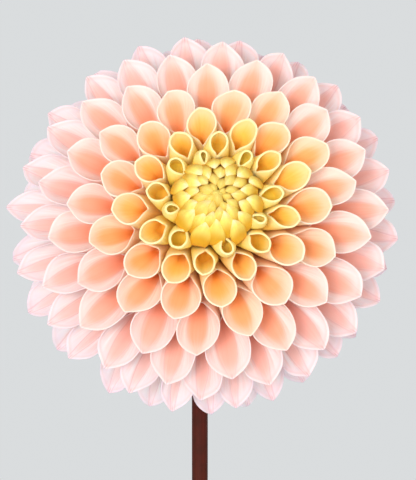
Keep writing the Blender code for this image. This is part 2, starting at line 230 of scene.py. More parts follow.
# ---- shader building --------------------------------------------------------
class Tree:
    """A node tree with short calls for the nodes that the finishes use."""

    # The sockets of a Mix node that mixes colours.
    MIX_SHARE, MIX_FIRST, MIX_LAST, MIX_RESULT = 0, 6, 7, 2

    def __init__(self, held: bpy.types.NodeTree) -> None:
        """Hold the node tree that is built."""
        self.held = held

    def node(self, kind: str, **settings: object) -> bpy.types.Node:
        """Add a node.

        Args:
            kind: Its type.
            **settings: Its properties.

        Returns:
            The new node.
        """
        made = self.held.nodes.new(kind)
        for key, value in settings.items():
            setattr(made, key, value)
        return made

    def feed(self, socket: Socket, source: Source) -> None:
        """Link a source to a socket, or set the socket if it is a plain value.

        Args:
            socket: The input.
            source: Another node's output, or a value.
        """
        if isinstance(source, Socket):
            self.held.links.new(source, socket)
        else:
            socket.default_value = source

    def math(self, operation: str, *values: Source, clamp: bool = False) -> Socket:
        """Add a maths node.

        Args:
            operation: What it does.
            *values: What it does it to.
            clamp: Keep the result between 0 and 1.

        Returns:
            Its result.
        """
        made = self.node("ShaderNodeMath", operation=operation, use_clamp=clamp)
        for socket, value in zip(made.inputs, values):
            self.feed(socket, value)
        return made.outputs[0]

    def times(self, first: Source, second: Source) -> Socket:
        """Multiply two values."""
        return self.math("MULTIPLY", first, second)

    def mix(self, share: Source, first: Source, last: Source) -> Socket:
        """Mix two colours.

        Args:
            share: 0 for the first colour, 1 for the last.
            first: The first colour.
            last: The last colour.

        Returns:
            The mixed colour.
        """
        made = self.node("ShaderNodeMix", data_type="RGBA")
        self.feed(made.inputs[self.MIX_SHARE], share)
        self.feed(made.inputs[self.MIX_FIRST], first)
        self.feed(made.inputs[self.MIX_LAST], last)
        return made.outputs[self.MIX_RESULT]

    def mix_shaders(self, share: Source, first: Socket, last: Socket) -> Socket:
        """Mix two shaders.

        Args:
            share: 0 for the first shader, 1 for the last.
            first: The first shader's output.
            last: The last shader's output.

        Returns:
            The mixed shader's output.
        """
        made = self.node("ShaderNodeMixShader")
        for socket, source in zip(made.inputs, (share, first, last)):
            self.feed(socket, source)
        return made.outputs[0]

    def ramp(self, value: Source, low: float, high: float, kind: str = "LINEAR") -> Socket:
        """Carry a value from a range to 0 to 1.

        Args:
            value: The value.
            low: Where the result is 0.
            high: Where it is 1.
            kind: How it goes from one to the other.

        Returns:
            The result, which stays at 0 or 1 outside the range.
        """
        made = self.node("ShaderNodeMapRange", interpolation_type=kind)
        self.feed(made.inputs["Value"], value)
        self.feed(made.inputs["From Min"], low)
        self.feed(made.inputs["From Max"], high)
        return made.outputs["Result"]

    def step(self, value: Source, low: float, high: float) -> Socket:
        """Smooth step of a value from 0 at low to 1 at high."""
        return self.ramp(value, low, high, "SMOOTHSTEP")

    def fall(self, value: Source, low: float, high: float) -> Socket:
        """Smooth step of a value from 1 at low to 0 at high."""
        return self.math("SUBTRACT", 1.0, self.step(value, low, high))

    def attribute(self, name: str) -> Socket:
        """Read a per-point value of the mesh."""
        return self.node("ShaderNodeAttribute", attribute_name=name).outputs["Fac"]

    def attributes(self, *names: str) -> list[Socket]:
        """Read several per-point values of the mesh."""
        return [self.attribute(name) for name in names]

    def place(self) -> Socket:
        """Read a point's place in its object."""
        return self.node("ShaderNodeTexCoord").outputs["Object"]

    def vector(self, *parts: Source) -> Socket:
        """Join three values into a vector.

        Args:
            *parts: Its x, y and z.

        Returns:
            The vector.
        """
        made = self.node("ShaderNodeCombineXYZ")
        for socket, value in zip(made.inputs, parts):
            self.feed(socket, value)
        return made.outputs[0]

    def noise(self, vector: Socket, scale: float = 1.0, detail: float = 2.0,
              roughness: float = 0.5) -> Socket:
        """Add noise.

        Args:
            vector: Where it is read.
            scale: How often it changes for each unit of the vector.
            detail: How many finer layers it has.
            roughness: How strong those are.

        Returns:
            The noise, of 0 to 1.
        """
        made = self.node("ShaderNodeTexNoise")
        for name, value in (("Vector", vector), ("Scale", scale), ("Detail", detail),
                            ("Roughness", roughness)):
            self.feed(made.inputs[name], value)
        return made.outputs["Fac"]

    def group(self, held: bpy.types.NodeTree, **inputs: Source) -> bpy.types.Node:
        """Place a node group.

        Args:
            held: The group.
            **inputs: What its inputs are fed, by name.

        Returns:
            The group's node.
        """
        made = self.node("ShaderNodeGroup", node_tree=held)
        for name, source in inputs.items():
            self.feed(made.inputs[name.title()], source)
        return made


def new_group(name: str, colours: tuple[str, ...], numbers: tuple[str, ...],
              outputs: dict[str, str]) -> tuple[Tree, dict[str, Socket], bpy.types.Node]:
    """Make an empty shader node group with named sockets.

    Args:
        name: The group's name.
        colours: The names of its inputs that are colours.
        numbers: The names of its inputs that are numbers.
        outputs: Socket types by output name.

    Returns:
        The tree, its input sockets by name, and its output node.
    """
    held = bpy.data.node_groups.new(name, "ShaderNodeTree")
    inputs = {label: COLOUR for label in colours} | {label: NUMBER for label in numbers}
    for way, sockets in (("INPUT", inputs), ("OUTPUT", outputs)):
        for label, kind in sockets.items():
            held.interface.new_socket(label, in_out=way, socket_type=kind)
    tree = Tree(held)
    entry = tree.node("NodeGroupInput")
    leave = tree.node("NodeGroupOutput")
    return tree, {label: entry.outputs[label] for label in inputs}, leave


@dataclass(frozen=True)
class Veins:
    """Fine lines that run along a petal or a stem, with their height."""

    stretch: float = 1.6
    seed_shift: float = 31.0
    detail: float = 3.0
    roughness: float = 0.6
    fine_weight: float = 0.6
    broad_weight: float = 0.4
    broad_count: float = 0.31
    contrast: Span = (0.3, 0.7)

    def build(self) -> bpy.types.NodeTree:
        """Build the node group.

        Returns:
            The group.
        """
        tree, source, leave = new_group("fine_veins", (), ("Across", "Along", "Seed", "Count"),
                                        {"Shade": NUMBER, "Height": NUMBER})
        side = tree.times(source["Across"], source["Count"])
        run = tree.times(source["Along"], self.stretch)
        shift = tree.times(source["Seed"], self.seed_shift)
        fine = tree.noise(tree.vector(side, run, shift), 1.0, self.detail, self.roughness)
        wide = tree.vector(tree.times(side, self.broad_count), run, shift)
        broad = tree.noise(wide, detail=1.0)
        both = tree.math("ADD", tree.times(fine, self.fine_weight),
                         tree.times(broad, self.broad_weight))
        tree.feed(leave.inputs["Shade"], tree.step(both, *self.contrast))
        tree.feed(leave.inputs["Height"], fine)
        return tree.held


@dataclass(frozen=True)
class PetalTintAndShading:
    """A petal's colour from its throat, face, side wings, lip and back.

    The pairs are the levels between which one colour gives way to the next. The throat, wing, lip
    and root colours hold painted light and shade as well as the petal's own colour.
    """

    waviness: float = 0.03
    face: Span = (0.62, 0.97)
    wing: Span = (0.6, 0.9)
    back: Span = (0.45, 0.95)
    lip: Span = (0.986, 0.999)
    lip_band: Span = (0.88, 0.985)
    lip_band_share: float = 0.6

    def build(self) -> bpy.types.NodeTree:
        """Build the node group.

        Returns:
            The group.
        """
        tree, source, leave = new_group(
            "petal_tint_and_shading", ("Throat", "Face", "Wing", "Lip", "Back", "Root"),
            ("Along", "Side", "Inside", "Shade"), {"Color": COLOUR})
        along = source["Along"]
        wavy = tree.math("ADD", along, tree.times(source["Shade"], self.waviness))
        # Painted shade: the inside darkens to the throat colour low in the cup, on top of the
        # petal's own darker base.
        inner = tree.mix(tree.step(wavy, *self.face), source["Throat"], source["Face"])
        # Painted highlight: the side wings are paler, partly as light on the walls that face the
        # lamps, partly their own paler colour.
        wing = tree.times(source["Side"], tree.step(along, *self.wing))
        inner = tree.mix(wing, inner, source["Wing"])
        # Painted shade: the outer wall darkens to the root colour low down, where shade falls
        # between florets.
        outer = tree.mix(tree.step(wavy, *self.back), source["Root"], source["Back"])
        body = tree.mix(source["Inside"], outer, inner)
        # Painted light: the lip and the band below it are paler, partly as light through the thin
        # margin, partly their own paler colour.
        edge = tree.math("MAXIMUM", tree.step(along, *self.lip),
                         tree.times(tree.step(along, *self.lip_band), self.lip_band_share))
        tree.feed(leave.inputs["Color"], tree.mix(edge, body, source["Lip"]))
        return tree.held


@dataclass(frozen=True)
class Mottle:
    """Cloudy lighter and darker patches, with a fine grain as height."""

    detail: float = 4.0
    roughness: float = 0.55
    patches: Span = (0.35, 0.7)
    grain_scale: float = 9.0

    def build(self) -> bpy.types.NodeTree:
        """Build the node group.

        Returns:
            The group.
        """
        tree, source, leave = new_group("mottle", ("Color", "Dark"), ("Scale", "Amount"),
                                        {"Color": COLOUR, "Height": NUMBER})
        place = tree.place()
        scaled = tree.node("ShaderNodeVectorMath", operation="SCALE")
        tree.feed(scaled.inputs[0], place)
        tree.feed(scaled.inputs["Scale"], source["Scale"])
        cloud = tree.noise(scaled.outputs[0], 1.0, self.detail, self.roughness)
        grain = tree.noise(scaled.outputs[0], self.grain_scale)
        share = tree.times(tree.step(cloud, *self.patches), source["Amount"])
        tree.feed(leave.inputs["Color"], tree.mix(share, source["Color"], source["Dark"]))
        tree.feed(leave.inputs["Height"], grain)
        return tree.held


@dataclass(frozen=True)
class Blemish:
    """A few small specks, as a surface gets with age or in the kiln."""

    across_count: float = 5.0
    along_count: float = 16.0
    seed_shift: float = 57.0
    radius: Span = (0.03, 0.13)
    rarity: float = 0.9

    def build(self) -> bpy.types.NodeTree:
        """Build the node group.

        Returns:
            The group.
        """
        tree, source, leave = new_group("blemish", ("Color", "Speck"),
                                        ("Across", "Along", "Seed", "Amount"),
                                        {"Color": COLOUR})
        spots = tree.node("ShaderNodeTexVoronoi", feature="F1")
        place = tree.vector(tree.times(source["Across"], self.across_count),
                            tree.times(source["Along"], self.along_count),
                            tree.times(source["Seed"], self.seed_shift))
        tree.feed(spots.inputs["Vector"], place)
        near = tree.fall(spots.outputs["Distance"], *self.radius)
        chance = tree.node("ShaderNodeSeparateColor")
        tree.feed(chance.inputs[0], spots.outputs["Color"])
        rare = tree.math("GREATER_THAN", chance.outputs[0], self.rarity)
        share = tree.times(tree.times(near, rare), source["Amount"])
        tree.feed(leave.inputs["Color"], tree.mix(share, source["Color"], source["Speck"]))
        return tree.held


class Effects:
    """The node groups that several finishes share."""

    def __init__(self) -> None:
        """Build each group once."""
        self.veins = Veins().build()
        self.petal_tint_and_shading = PetalTintAndShading().build()
        self.mottle = Mottle().build()
        self.blemish = Blemish().build()


# ---- finishes ---------------------------------------------------------------
@dataclass(frozen=True)
class Surface:
    """The values of a Principled shader that are the same all over a piece.

    The glow is light that passes under the skin.
    """

    roughness: float
    specular: float = 0.5
    sheen: float = 0.0
    coat: float = 0.0
    coat_roughness: float = 0.03
    glow: float = 0.0
    glow_reach: float = 0.4 * MM
    glow_colour: Triple = (1.0, 0.6, 0.4)

    def set_on(self, shader: bpy.types.Node) -> None:
        """Set the shader's own sockets.

        Args:
            shader: The Principled shader.
        """
        for name, value in (("Roughness", self.roughness), ("Specular IOR Level", self.specular),
                            ("Sheen Weight", self.sheen), ("Coat Weight", self.coat),
                            ("Coat Roughness", self.coat_roughness),
                            ("Subsurface Weight", self.glow),
                            ("Subsurface Scale", self.glow_reach),
                            ("Subsurface Radius", self.glow_colour)):
            shader.inputs[name].default_value = value


@dataclass(frozen=True, kw_only=True)
class Finish:
    """A material with one Principled shader, a painted colour and a fine bump."""

    name: str
    surface: Surface
    bump_depth: float
    bump_strength: float = 0.5

    def make(self, effects: Effects) -> bpy.types.Material:
        """Build the material.

        Args:
            effects: The shared node groups.

        Returns:
            The material.
        """
        material = bpy.data.materials.new(self.name)
        material.use_nodes = True
        tree = Tree(material.node_tree)
        shader = material.node_tree.nodes["Principled BSDF"]
        self.surface.set_on(shader)
        colour, height = self.paint(tree, effects)
        bump = tree.node("ShaderNodeBump")
        tree.feed(bump.inputs["Distance"], self.bump_depth)
        tree.feed(bump.inputs["Strength"], self.bump_strength)
        tree.feed(bump.inputs["Height"], height)
        tree.feed(shader.inputs["Base Color"], colour)
        tree.feed(shader.inputs["Normal"], bump.outputs["Normal"])
        return material

    def paint(self, tree: Tree, effects: Effects) -> tuple[Socket, Socket]:
        """Give the colour and the height of the surface; each finish has its own."""
        raise NotImplementedError


@dataclass(frozen=True)
class PetalShade:
    """The colours of the florets at one place in the spiral."""

    index: int
    # The throat colour is partly painted shade low in the cup, the wing and lip colours are partly
    # painted light, and the root colour is partly painted shade between florets.
    throat: Colour
    face: Colour
    wing: Colour
    lip: Colour
    back: Colour
    root: Colour

    @classmethod
    def shown(cls, index: int, *colours: Triple) -> "PetalShade":
        """Make a shade from six display colours, in the order of the fields."""
        return cls(index, *(tone(*colour) for colour in colours))


# Columns: index, throat, face, wing, lip, back, root. Throat and root hold painted shade, and wing
# and lip hold painted light, besides the florets' own colours.
PETAL_SHADES = (
    PetalShade.shown(0, (254, 200, 20), (254, 224, 84), (254, 237, 128),
                     (254, 242, 166), (254, 231, 92), (254, 206, 20)),
    PetalShade.shown(13, (252, 172, 14), (253, 211, 98), (253, 229, 152),
                     (253, 236, 178), (254, 222, 106), (254, 194, 34)),
    PetalShade.shown(26, (250, 144, 30), (249, 184, 116), (253, 230, 198),
                     (252, 231, 207), (253, 206, 144), (254, 174, 70)),
    PetalShade.shown(47, (249, 145, 98), (247, 182, 154), (251, 234, 228),
                     (251, 230, 223), (250, 201, 180), (252, 168, 128)),
    PetalShade.shown(68, (246, 163, 142), (245, 194, 184), (250, 238, 238),
                     (248, 227, 229), (248, 208, 201), (250, 182, 164)),
    PetalShade.shown(109, (240, 200, 195), (244, 217, 216), (249, 244, 248),
                     (244, 224, 235), (245, 227, 232), (242, 203, 199)),
    PetalShade.shown(130, (237, 211, 209), (242, 229, 231), (249, 247, 250),
                     (243, 228, 238), (245, 234, 240), (239, 214, 213)),
)


@dataclass(frozen=True, kw_only=True)
class PetalFinish(Finish):
    """Soft petal tissue whose colours run from one place in the spiral to another."""

    first: PetalShade
    last: PetalShade
    surface: Surface = Surface(roughness=0.58, specular=0.25, sheen=0.05, glow=0.2)
    bump_depth: float = 0.07 * MM
    own_tint: float = 10.0
    old_rows: Span = (30.0, 90.0)
    vein_count: float = 30.0
    vein_shade: float = 0.30
    old_vein_shade: float = 0.14
    vein_end: Span = (0.9, 0.99)
    # Painted shade: the crease colour is a darker line along each fold.
    crease: Colour = tone(216, 146, 150)
    crease_shade: float = 0.38
    crease_line: Span = (0.5, 1.0)
    # Painted shade: the edge values give a thin darker band just inside the rim, where the margin
    # rolls over.
    edge_shade: float = 0.28
    edge_start: Span = (0.955, 0.982)
    edge_end: Span = (0.982, 0.995)
    tip_mark: Colour = tone(186, 110, 130)
    tip_shade: float = 0.5
    tip_start: Span = (0.955, 1.0)
    tip_width: Span = (0.01, 0.09)
    speck: Colour = tone(176, 112, 62)
    speck_shade: float = 0.5

    def paint(self, tree: Tree, effects: Effects) -> tuple[Socket, Socket]:
        """Paint the tissue, its veins, folds, edge and tip.

        Args:
            tree: The material's tree.
            effects: The shared node groups.

        Returns:
            The colour and the height of the surface.
        """
        row, along, across, seed, inside = tree.attributes("row", "along", "across", "seed",
                                                           "inside")
        own = tree.times(tree.math("SUBTRACT", seed, 0.5), self.own_tint)
        row = tree.math("ADD", row, own)
        share = tree.ramp(row, self.first.index, self.last.index)
        shades = {part: tree.mix(share, getattr(self.first, part), getattr(self.last, part))
                  for part in ("throat", "face", "wing", "lip", "back", "root")}
        veins = tree.group(effects.veins, across=across, along=along, seed=seed,
                           count=self.vein_count)
        shade = veins.outputs["Shade"]
        tint_and_shading = tree.group(effects.petal_tint_and_shading, along=along, side=tree.attribute("wing"),
                          inside=inside, shade=shade, **shades)
        low = tree.fall(along, *self.vein_end)
        old = tree.step(row, *self.old_rows)
        strong = tree.math("ADD", self.vein_shade, tree.times(old, self.old_vein_shade))
        line = tree.times(shade, tree.times(low, strong))
        colour = tree.mix(line, tint_and_shading.outputs["Color"], shades["throat"])
        # Painted shade: the fold line darkens the crease, where shade falls between the folded
        # walls.
        fold = tree.times(tree.step(tree.attribute("fold"), *self.crease_line), inside)
        fold = tree.times(fold, tree.times(old, self.crease_shade))
        colour = tree.mix(fold, colour, self.crease)
        # Painted shade: a thin band just inside the rim darkens towards the throat colour, under
        # the rolled margin.
        edge = tree.math("SUBTRACT", tree.step(along, *self.edge_start),
                         tree.step(along, *self.edge_end))
        edge = tree.times(edge, tree.times(old, self.edge_shade))
        colour = tree.mix(edge, colour, shades["throat"])
        tip = tree.times(tree.step(along, *self.tip_start),
                         tree.fall(tree.math("ABSOLUTE", across), *self.tip_width))
        tip = tree.times(tip, tree.times(old, self.tip_shade))
        colour = tree.mix(tip, colour, self.tip_mark)
        worn = tree.group(effects.blemish, color=colour, speck=self.speck, across=across,
                          along=along, seed=seed, amount=self.speck_shade)
        return worn.outputs["Color"], veins.outputs["Height"]


@dataclass(frozen=True, kw_only=True)
class BudFinish(Finish):
    """Closed young florets: lemon at the rim, straw and ochre in the middle."""

    name: str = "young_floret"
    surface: Surface = Surface(roughness=0.5, sheen=0.05, glow=0.18)
    bump_depth: float = 0.08 * MM
    rim: Colour = tone(255, 250, 205)
    body: Colour = tone(252, 231, 114)
    # Painted shade: the darker ochre colours fill each scale's root and sides, where shade falls
    # between scales.
    deep_shade: Colour = tone(228, 172, 30)
    heart: Colour = tone(238, 213, 108)
    heart_deep_shade: Colour = tone(208, 162, 52)
    heart_rows: Span = (-41.0, -14.0)
    vein_count: float = 7.0
    vein_shade: float = 0.22
    body_start: Span = (0.12, 0.55)
    rim_start: Span = (0.55, 0.95)
    side_start: Span = (0.7, 1.0)
    side_shade: float = 0.65
    speck: Colour = tone(170, 120, 40)
    speck_shade: float = 0.6

    def paint(self, tree: Tree, effects: Effects) -> tuple[Socket, Socket]:
        """Paint the closed florets from their roots to their rims.

        Args:
            tree: The material's tree.
            effects: The shared node groups.

        Returns:
            The colour and the height of the surface.
        """
        row, along, across, seed = tree.attributes("row", "along", "across", "seed")
        veins = tree.group(effects.veins, across=across, along=along, seed=seed,
                           count=self.vein_count)
        age = tree.step(row, *self.heart_rows)
        body = tree.mix(age, self.heart, self.body)
        deep_shade = tree.mix(age, self.heart_deep_shade, self.deep_shade)
        rim = tree.mix(age, self.heart, self.rim)
        # Painted shade at each scale's root, between the scales.
        colour = tree.mix(tree.step(along, *self.body_start), deep_shade, body)
        colour = tree.mix(tree.step(along, *self.rim_start), colour, rim)
        # Painted shade along each scale's sides, in the crevices.
        edge = tree.step(tree.math("ABSOLUTE", across), *self.side_start)
        colour = tree.mix(tree.times(edge, self.side_shade), colour, deep_shade)
        colour = tree.mix(tree.times(veins.outputs["Shade"], self.vein_shade), colour, deep_shade)
        worn = tree.group(effects.blemish, color=colour, speck=self.speck, across=across,
                          along=along, seed=seed, amount=self.speck_shade)
        return worn.outputs["Color"], veins.outputs["Height"]


@dataclass(frozen=True, kw_only=True)
class GreenFinish(Finish):
    """Fleshy green tissue of the receptacle and its bracts."""

    name: str = "bract_flesh"
    surface: Surface = Surface(roughness=0.5, sheen=0.08)
    bump_depth: float = 0.08 * MM
    light: Colour = tone(150, 158, 84)
    dark: Colour = tone(96, 112, 44)
    dry: Colour = tone(150, 96, 60)
    vein_count: float = 16.0
    vein_shade: float = 0.3
    patch_scale: float = 160.0
    patch_shade: float = 0.8
    tip_start: Span = (0.8, 1.0)
    tip_shade: float = 0.45

    def paint(self, tree: Tree, effects: Effects) -> tuple[Socket, Socket]:
        """Paint the flesh, with dry tips.

        Args:
            tree: The material's tree.
            effects: The shared node groups.

        Returns:
            The colour and the height of the surface.
        """
        along, across, seed = tree.attributes("along", "across", "seed")
        veins = tree.group(effects.veins, across=across, along=along, seed=seed,
                           count=self.vein_count)
        patch = tree.group(effects.mottle, color=self.light, dark=self.dark,
                           scale=self.patch_scale, amount=self.patch_shade)
        colour = tree.mix(tree.times(veins.outputs["Shade"], self.vein_shade),
                          patch.outputs["Color"], self.dark)
        tip = tree.step(along, *self.tip_start)
        colour = tree.mix(tree.times(tip, self.tip_shade), colour, self.dry)
        return colour, tree.math("ADD", veins.outputs["Height"], patch.outputs["Height"])


@dataclass(frozen=True, kw_only=True)
class StemFinish(Finish):
    """Smooth dark red-brown stem with fine ribs, greener low down in the vase."""

    name: str = "stem_bark"
    surface: Surface = Surface(roughness=0.6, specular=0.14)
    bump_depth: float = 0.12 * MM
    red: Colour = tone(82, 14, 11)
    dark: Colour = tone(52, 10, 8)
    green: Colour = tone(96, 78, 40)
    green_end: Span = (0.1, 0.6)
    green_shade: float = 0.5
    vein_count: float = 14.0
    vein_run: float = 6.0
    vein_seed: float = 0.3
    vein_shade: float = 0.35
    patch_scale: float = 220.0
    patch_shade: float = 0.7

    def paint(self, tree: Tree, effects: Effects) -> tuple[Socket, Socket]:
        """Paint the bark and its fine ribs.

        Args:
            tree: The material's tree.
            effects: The shared node groups.

        Returns:
            The colour and the height of the surface.
        """
        along, across = tree.attributes("along", "across")
        veins = tree.group(effects.veins, across=across, along=tree.times(along, self.vein_run),
                           seed=self.vein_seed, count=self.vein_count)
        patch = tree.group(effects.mottle, color=self.red, dark=self.dark,
                           scale=self.patch_scale, amount=self.patch_shade)
        low = tree.fall(along, *self.green_end)
        colour = tree.mix(tree.times(low, self.green_shade), patch.outputs["Color"], self.green)
        shade = tree.times(veins.outputs["Shade"], self.vein_shade)
        return tree.mix(shade, colour, self.dark), veins.outputs["Height"]


@dataclass(frozen=True, kw_only=True)
class GlazeFinish(Finish):
    """Off-white glaze, thin over the lip, with throwing lines and a few iron specks."""

    name: str = "vase_glaze"
    surface: Surface = Surface(roughness=0.2, coat=0.35, coat_roughness=0.08)
    bump_depth: float = 0.35 * MM
    bump_strength: float = 0.6
    glaze: Colour = tone(229, 225, 214)
    pooled: Colour = tone(206, 200, 184)
    patch_scale: float = 38.0
    patch_shade: float = 0.55
    thin: Colour = tone(190, 166, 134)
    thin_shade: float = 0.8
    speck: Colour = tone(120, 92, 64)
    speck_shade: float = 0.45
    specks_across: float = 3.0
    specks_along: float = 1.4
    speck_seed: float = 0.2
    throwing_lines: float = 46.0
    grain_height: float = 0.12

    def paint(self, tree: Tree, effects: Effects) -> tuple[Socket, Socket]:
        """Paint the glaze, its specks and its thin lip.

        Args:
            tree: The material's tree.
            effects: The shared node groups.

        Returns:
            The colour and the height of the surface.
        """
        along = tree.attribute("along")
        patch = tree.group(effects.mottle, color=self.glaze, dark=self.pooled,
                           scale=self.patch_scale, amount=self.patch_shade)
        worn = tree.group(effects.blemish, color=patch.outputs["Color"], speck=self.speck,
                          across=tree.times(tree.attribute("across"), self.specks_across),
                          along=tree.times(along, self.specks_along), seed=self.speck_seed,
                          amount=self.speck_shade)
        thin = tree.times(tree.attribute("thin"), self.thin_shade)
        colour = tree.mix(thin, worn.outputs["Color"], self.thin)
        rings = tree.noise(tree.vector(0.0, tree.times(along, self.throwing_lines), 0.0),
                           detail=1.0)
        grain = tree.times(patch.outputs["Height"], self.grain_height)
        return colour, tree.math("ADD", rings, grain)


@dataclass(frozen=True, kw_only=True)
class ClayFinish(Finish):
    """Bare fired clay of the vase's foot."""

    name: str = "bare_clay"
    surface: Surface = Surface(roughness=0.85)
    bump_depth: float = 0.2 * MM
    clay: Colour = tone(202, 184, 158)
    dark: Colour = tone(172, 150, 122)
    patch_scale: float = 300.0
    patch_shade: float = 0.9

    def paint(self, tree: Tree, effects: Effects) -> tuple[Socket, Socket]:
        """Paint the clay.

        Args:
            tree: The material's tree.
            effects: The shared node groups.

        Returns:
            The colour and the height of the surface.
        """
        patch = tree.group(effects.mottle, color=self.clay, dark=self.dark,
                           scale=self.patch_scale, amount=self.patch_shade)
        return patch.outputs["Color"], patch.outputs["Height"]


# ---- bloom geometry ---------------------------------------------------------
@dataclass(frozen=True)
class Cell:
    """One floret's place in the spiral, and the scales that turn lengths into angles."""

    theta: float
    azimuth: float
    along: float
    across: float
    width: float


@dataclass(frozen=True)
class BloomForm:
    """The bloom's laws: its dome, its spiral and the path of each floret."""

    centre: Triple = (0.0, -51.0 * MM, 300.0 * MM)
    tilt: float = math.radians(14.5)
    radius: float = 55.0 * MM
    dome_depth: float = 43.0 * MM
    back_depth: float = 60.0 * MM
    drift_side: float = 5.2 * MM
    drift_power: int = 4
    face_rise: float = -3.2 * MM
    rim_rise: float = 1.7 * MM
    first_azimuth: float = 1.904
    tip_start: float = 9.7
    tip_step: float = 0.722
    tip_spread: float = 3.5
    tip_spread_count: float = 34.0
    tip_overhang: float = 5.2
    bud_overhang: float = 7.5
    bud_overhang_count: float = 14.0
    bud_count: int = 46
    bud_edge: float = 12.0
    bud_growth: float = 0.62
    receptacle_radius: float = 11.0 * MM
    receptacle_set_back: float = 6.0 * MM
    foot_start: float = math.radians(14.0)
    foot_spread: float = 0.82
    outer_arch: float = math.radians(14.0)
    inner_arch: float = math.radians(8.0)
    inner_arch_end: float = math.radians(35.0)
    heart_rise: float = 3.0 * MM
    heart_fall: float = 6.0 * MM
    heart_edge: float = math.radians(14.5)
    neighbours: int = 34
    fitted_turns: int = 90

    def to_world(self, side: Values, rise: Values, depth: Values) -> np.ndarray:
        """Carry bloom coordinates to the world.

        Args:
            side: Distance towards +X.
            rise: Distance up the bloom's face.
            depth: Distance out along its axis.

        Returns:
            Points, in the broadcast shape of the three and 3.
        """
        lean, level = math.sin(self.tilt), math.cos(self.tilt)
        x, y, z = self.centre
        return np.stack(np.broadcast_arrays(x + side, y + rise * lean - depth * level,
                                            z + rise * level + depth * lean), axis=-1)

    def drift(self, theta: Values) -> tuple[Values, Values]:
        """Sideways and upward shift of the rows at an angle from the axis."""
        turned = np.clip(theta / (math.pi / 2), 0.0, 1.0)
        return (self.drift_side * (1 - turned ** self.drift_power),
                blend(self.rim_rise, self.face_rise, np.cos(turned * math.pi / 2)))

    def points(self, theta: Values, azimuth: Values, share: Values) -> np.ndarray:
        """World points at a share of the way from the receptacle to the dome.

        Args:
            theta: Angle from the bloom's axis.
            azimuth: Angle about it, from +X towards up.
            share: 0 at the receptacle, 1 at the dome.

        Returns:
            Points, in the broadcast shape of the three and 3.
        """
        foot_angle = self.foot_start + self.foot_spread * theta
        foot_r = self.receptacle_radius * np.sin(foot_angle)
        foot_d = self.receptacle_radius * np.cos(foot_angle) - self.receptacle_set_back
        depth = np.where(np.cos(theta) > 0.0, self.dome_depth, self.back_depth)
        tip_r, tip_d = self.radius * np.sin(theta), depth * np.cos(theta)
        reach = np.hypot(tip_r - foot_r, tip_d - foot_d)
        lean = np.arctan2(tip_r - foot_r, tip_d - foot_d)
        lean = lean - self.outer_arch * (theta / (math.pi / 2)) ** 2
        lean = lean - self.inner_arch * bell(theta, self.inner_arch_end)
        knee_r, knee_d = foot_r + 0.5 * reach * np.sin(lean), foot_d + 0.5 * reach * np.cos(lean)
        a, b, c = (1 - share) ** 2, 2 * share * (1 - share), share ** 2
        r = a * foot_r + b * knee_r + c * tip_r
        d = a * foot_d + b * knee_d + c * tip_d
        side, rise = self.drift(theta)
        return self.to_world(r * np.cos(azimuth) + side * share,
                             r * np.sin(azimuth) + rise * share, d)

    def azimuth(self, index: float) -> float:
        """A floret's azimuth."""
        return self.first_azimuth - GOLDEN_ANGLE * index

    def bud_age(self, index: float) -> float:
        """How far a closed floret is on the way to opening, from 0 to 1."""
        return (index + self.bud_count + 1) / (self.bud_count + 1)

    def middle_angle(self, index: float) -> float:
        """Find the angle from the axis to the middle of a floret's cell.

        Args:
            index: The floret's number in the spiral, below 0 for a closed one.

        Returns:
            The angle in degrees.
        """
        if index < 0:
            return self.bud_edge * self.bud_age(index) ** self.bud_growth
        tip = self.tip_start + self.tip_step * index
        tip += self.tip_spread * (1 - math.exp(-index / self.tip_spread_count))
        return tip - self.tip_overhang + self.bud_overhang * math.exp(
            -index / self.bud_overhang_count)

    def cell(self, index: int) -> Cell:
        """Find a floret's cell; its width is the root of its area.

        Args:
            index: The floret's number in the spiral.

        Returns:
            Its cell.
        """
        theta = math.radians(self.middle_angle(index))
        step = math.radians(self.middle_angle(index + 0.5) - self.middle_angle(index - 0.5))
        along = math.hypot(self.radius * math.cos(theta), self.dome_depth * math.sin(theta))
        across = self.radius * math.sin(theta)
        width = math.sqrt(2 * math.pi * across * along * step)
        return Cell(theta, self.azimuth(index), along, across, width)

    def reach(self, index: int, turn: np.ndarray, square: float) -> np.ndarray:
        """Distance from a floret's middle to its wall, just clear of its neighbours.

        Args:
            index: The floret's number in the spiral.
            turn: Directions, 0 being outwards and a quarter turn along the azimuth.
            square: 2 for the oval that fits between the neighbours, more for fuller corners.

        Returns:
            The distance in each direction, in metres.
        """
        cell = self.cell(index)
        places = []
        for other in range(index - self.neighbours, index + self.neighbours + 1):
            if other == index or other < -self.bud_count:
                continue
            theta = math.radians(self.middle_angle(other))
            turned = math.remainder(self.azimuth(other) - cell.azimuth, 2 * math.pi)
            places.append((cell.along * (theta - cell.theta),
                           self.radius * math.sin(0.5 * (theta + cell.theta)) * turned))
        out, aside = np.array(places).T
        closeness = 2.0 / (out * out + aside * aside)

        def facing(directions: np.ndarray) -> np.ndarray:
            """How squarely each direction faces each neighbour, over its distance."""
            away = directions[..., None]
            return np.maximum((out * np.cos(away) + aside * np.sin(away)) * closeness, 0.0)

        around = np.linspace(0.0, 2 * math.pi, self.fitted_turns, endpoint=False)
        full = np.sum(facing(around) ** square, axis=-1) ** (1 / square)
        room = np.min(full / np.max(facing(around), axis=-1))
        return room * np.sum(facing(turn) ** square, axis=-1) ** (-1 / square)

    def heart_depth(self, theta: Values) -> Values:
        """Depth of the bud heart's surface at an angle from the axis."""
        return self.dome_depth + self.heart_rise - self.heart_fall * (theta / self.heart_edge) ** 2


# ---- florets ----------------------------------------------------------------
# wing and fold carry the masks for the petals' painted highlight and painted shade.
FLORET_VALUES = ("row", "along", "across", "seed", "wing", "fold", "inside")


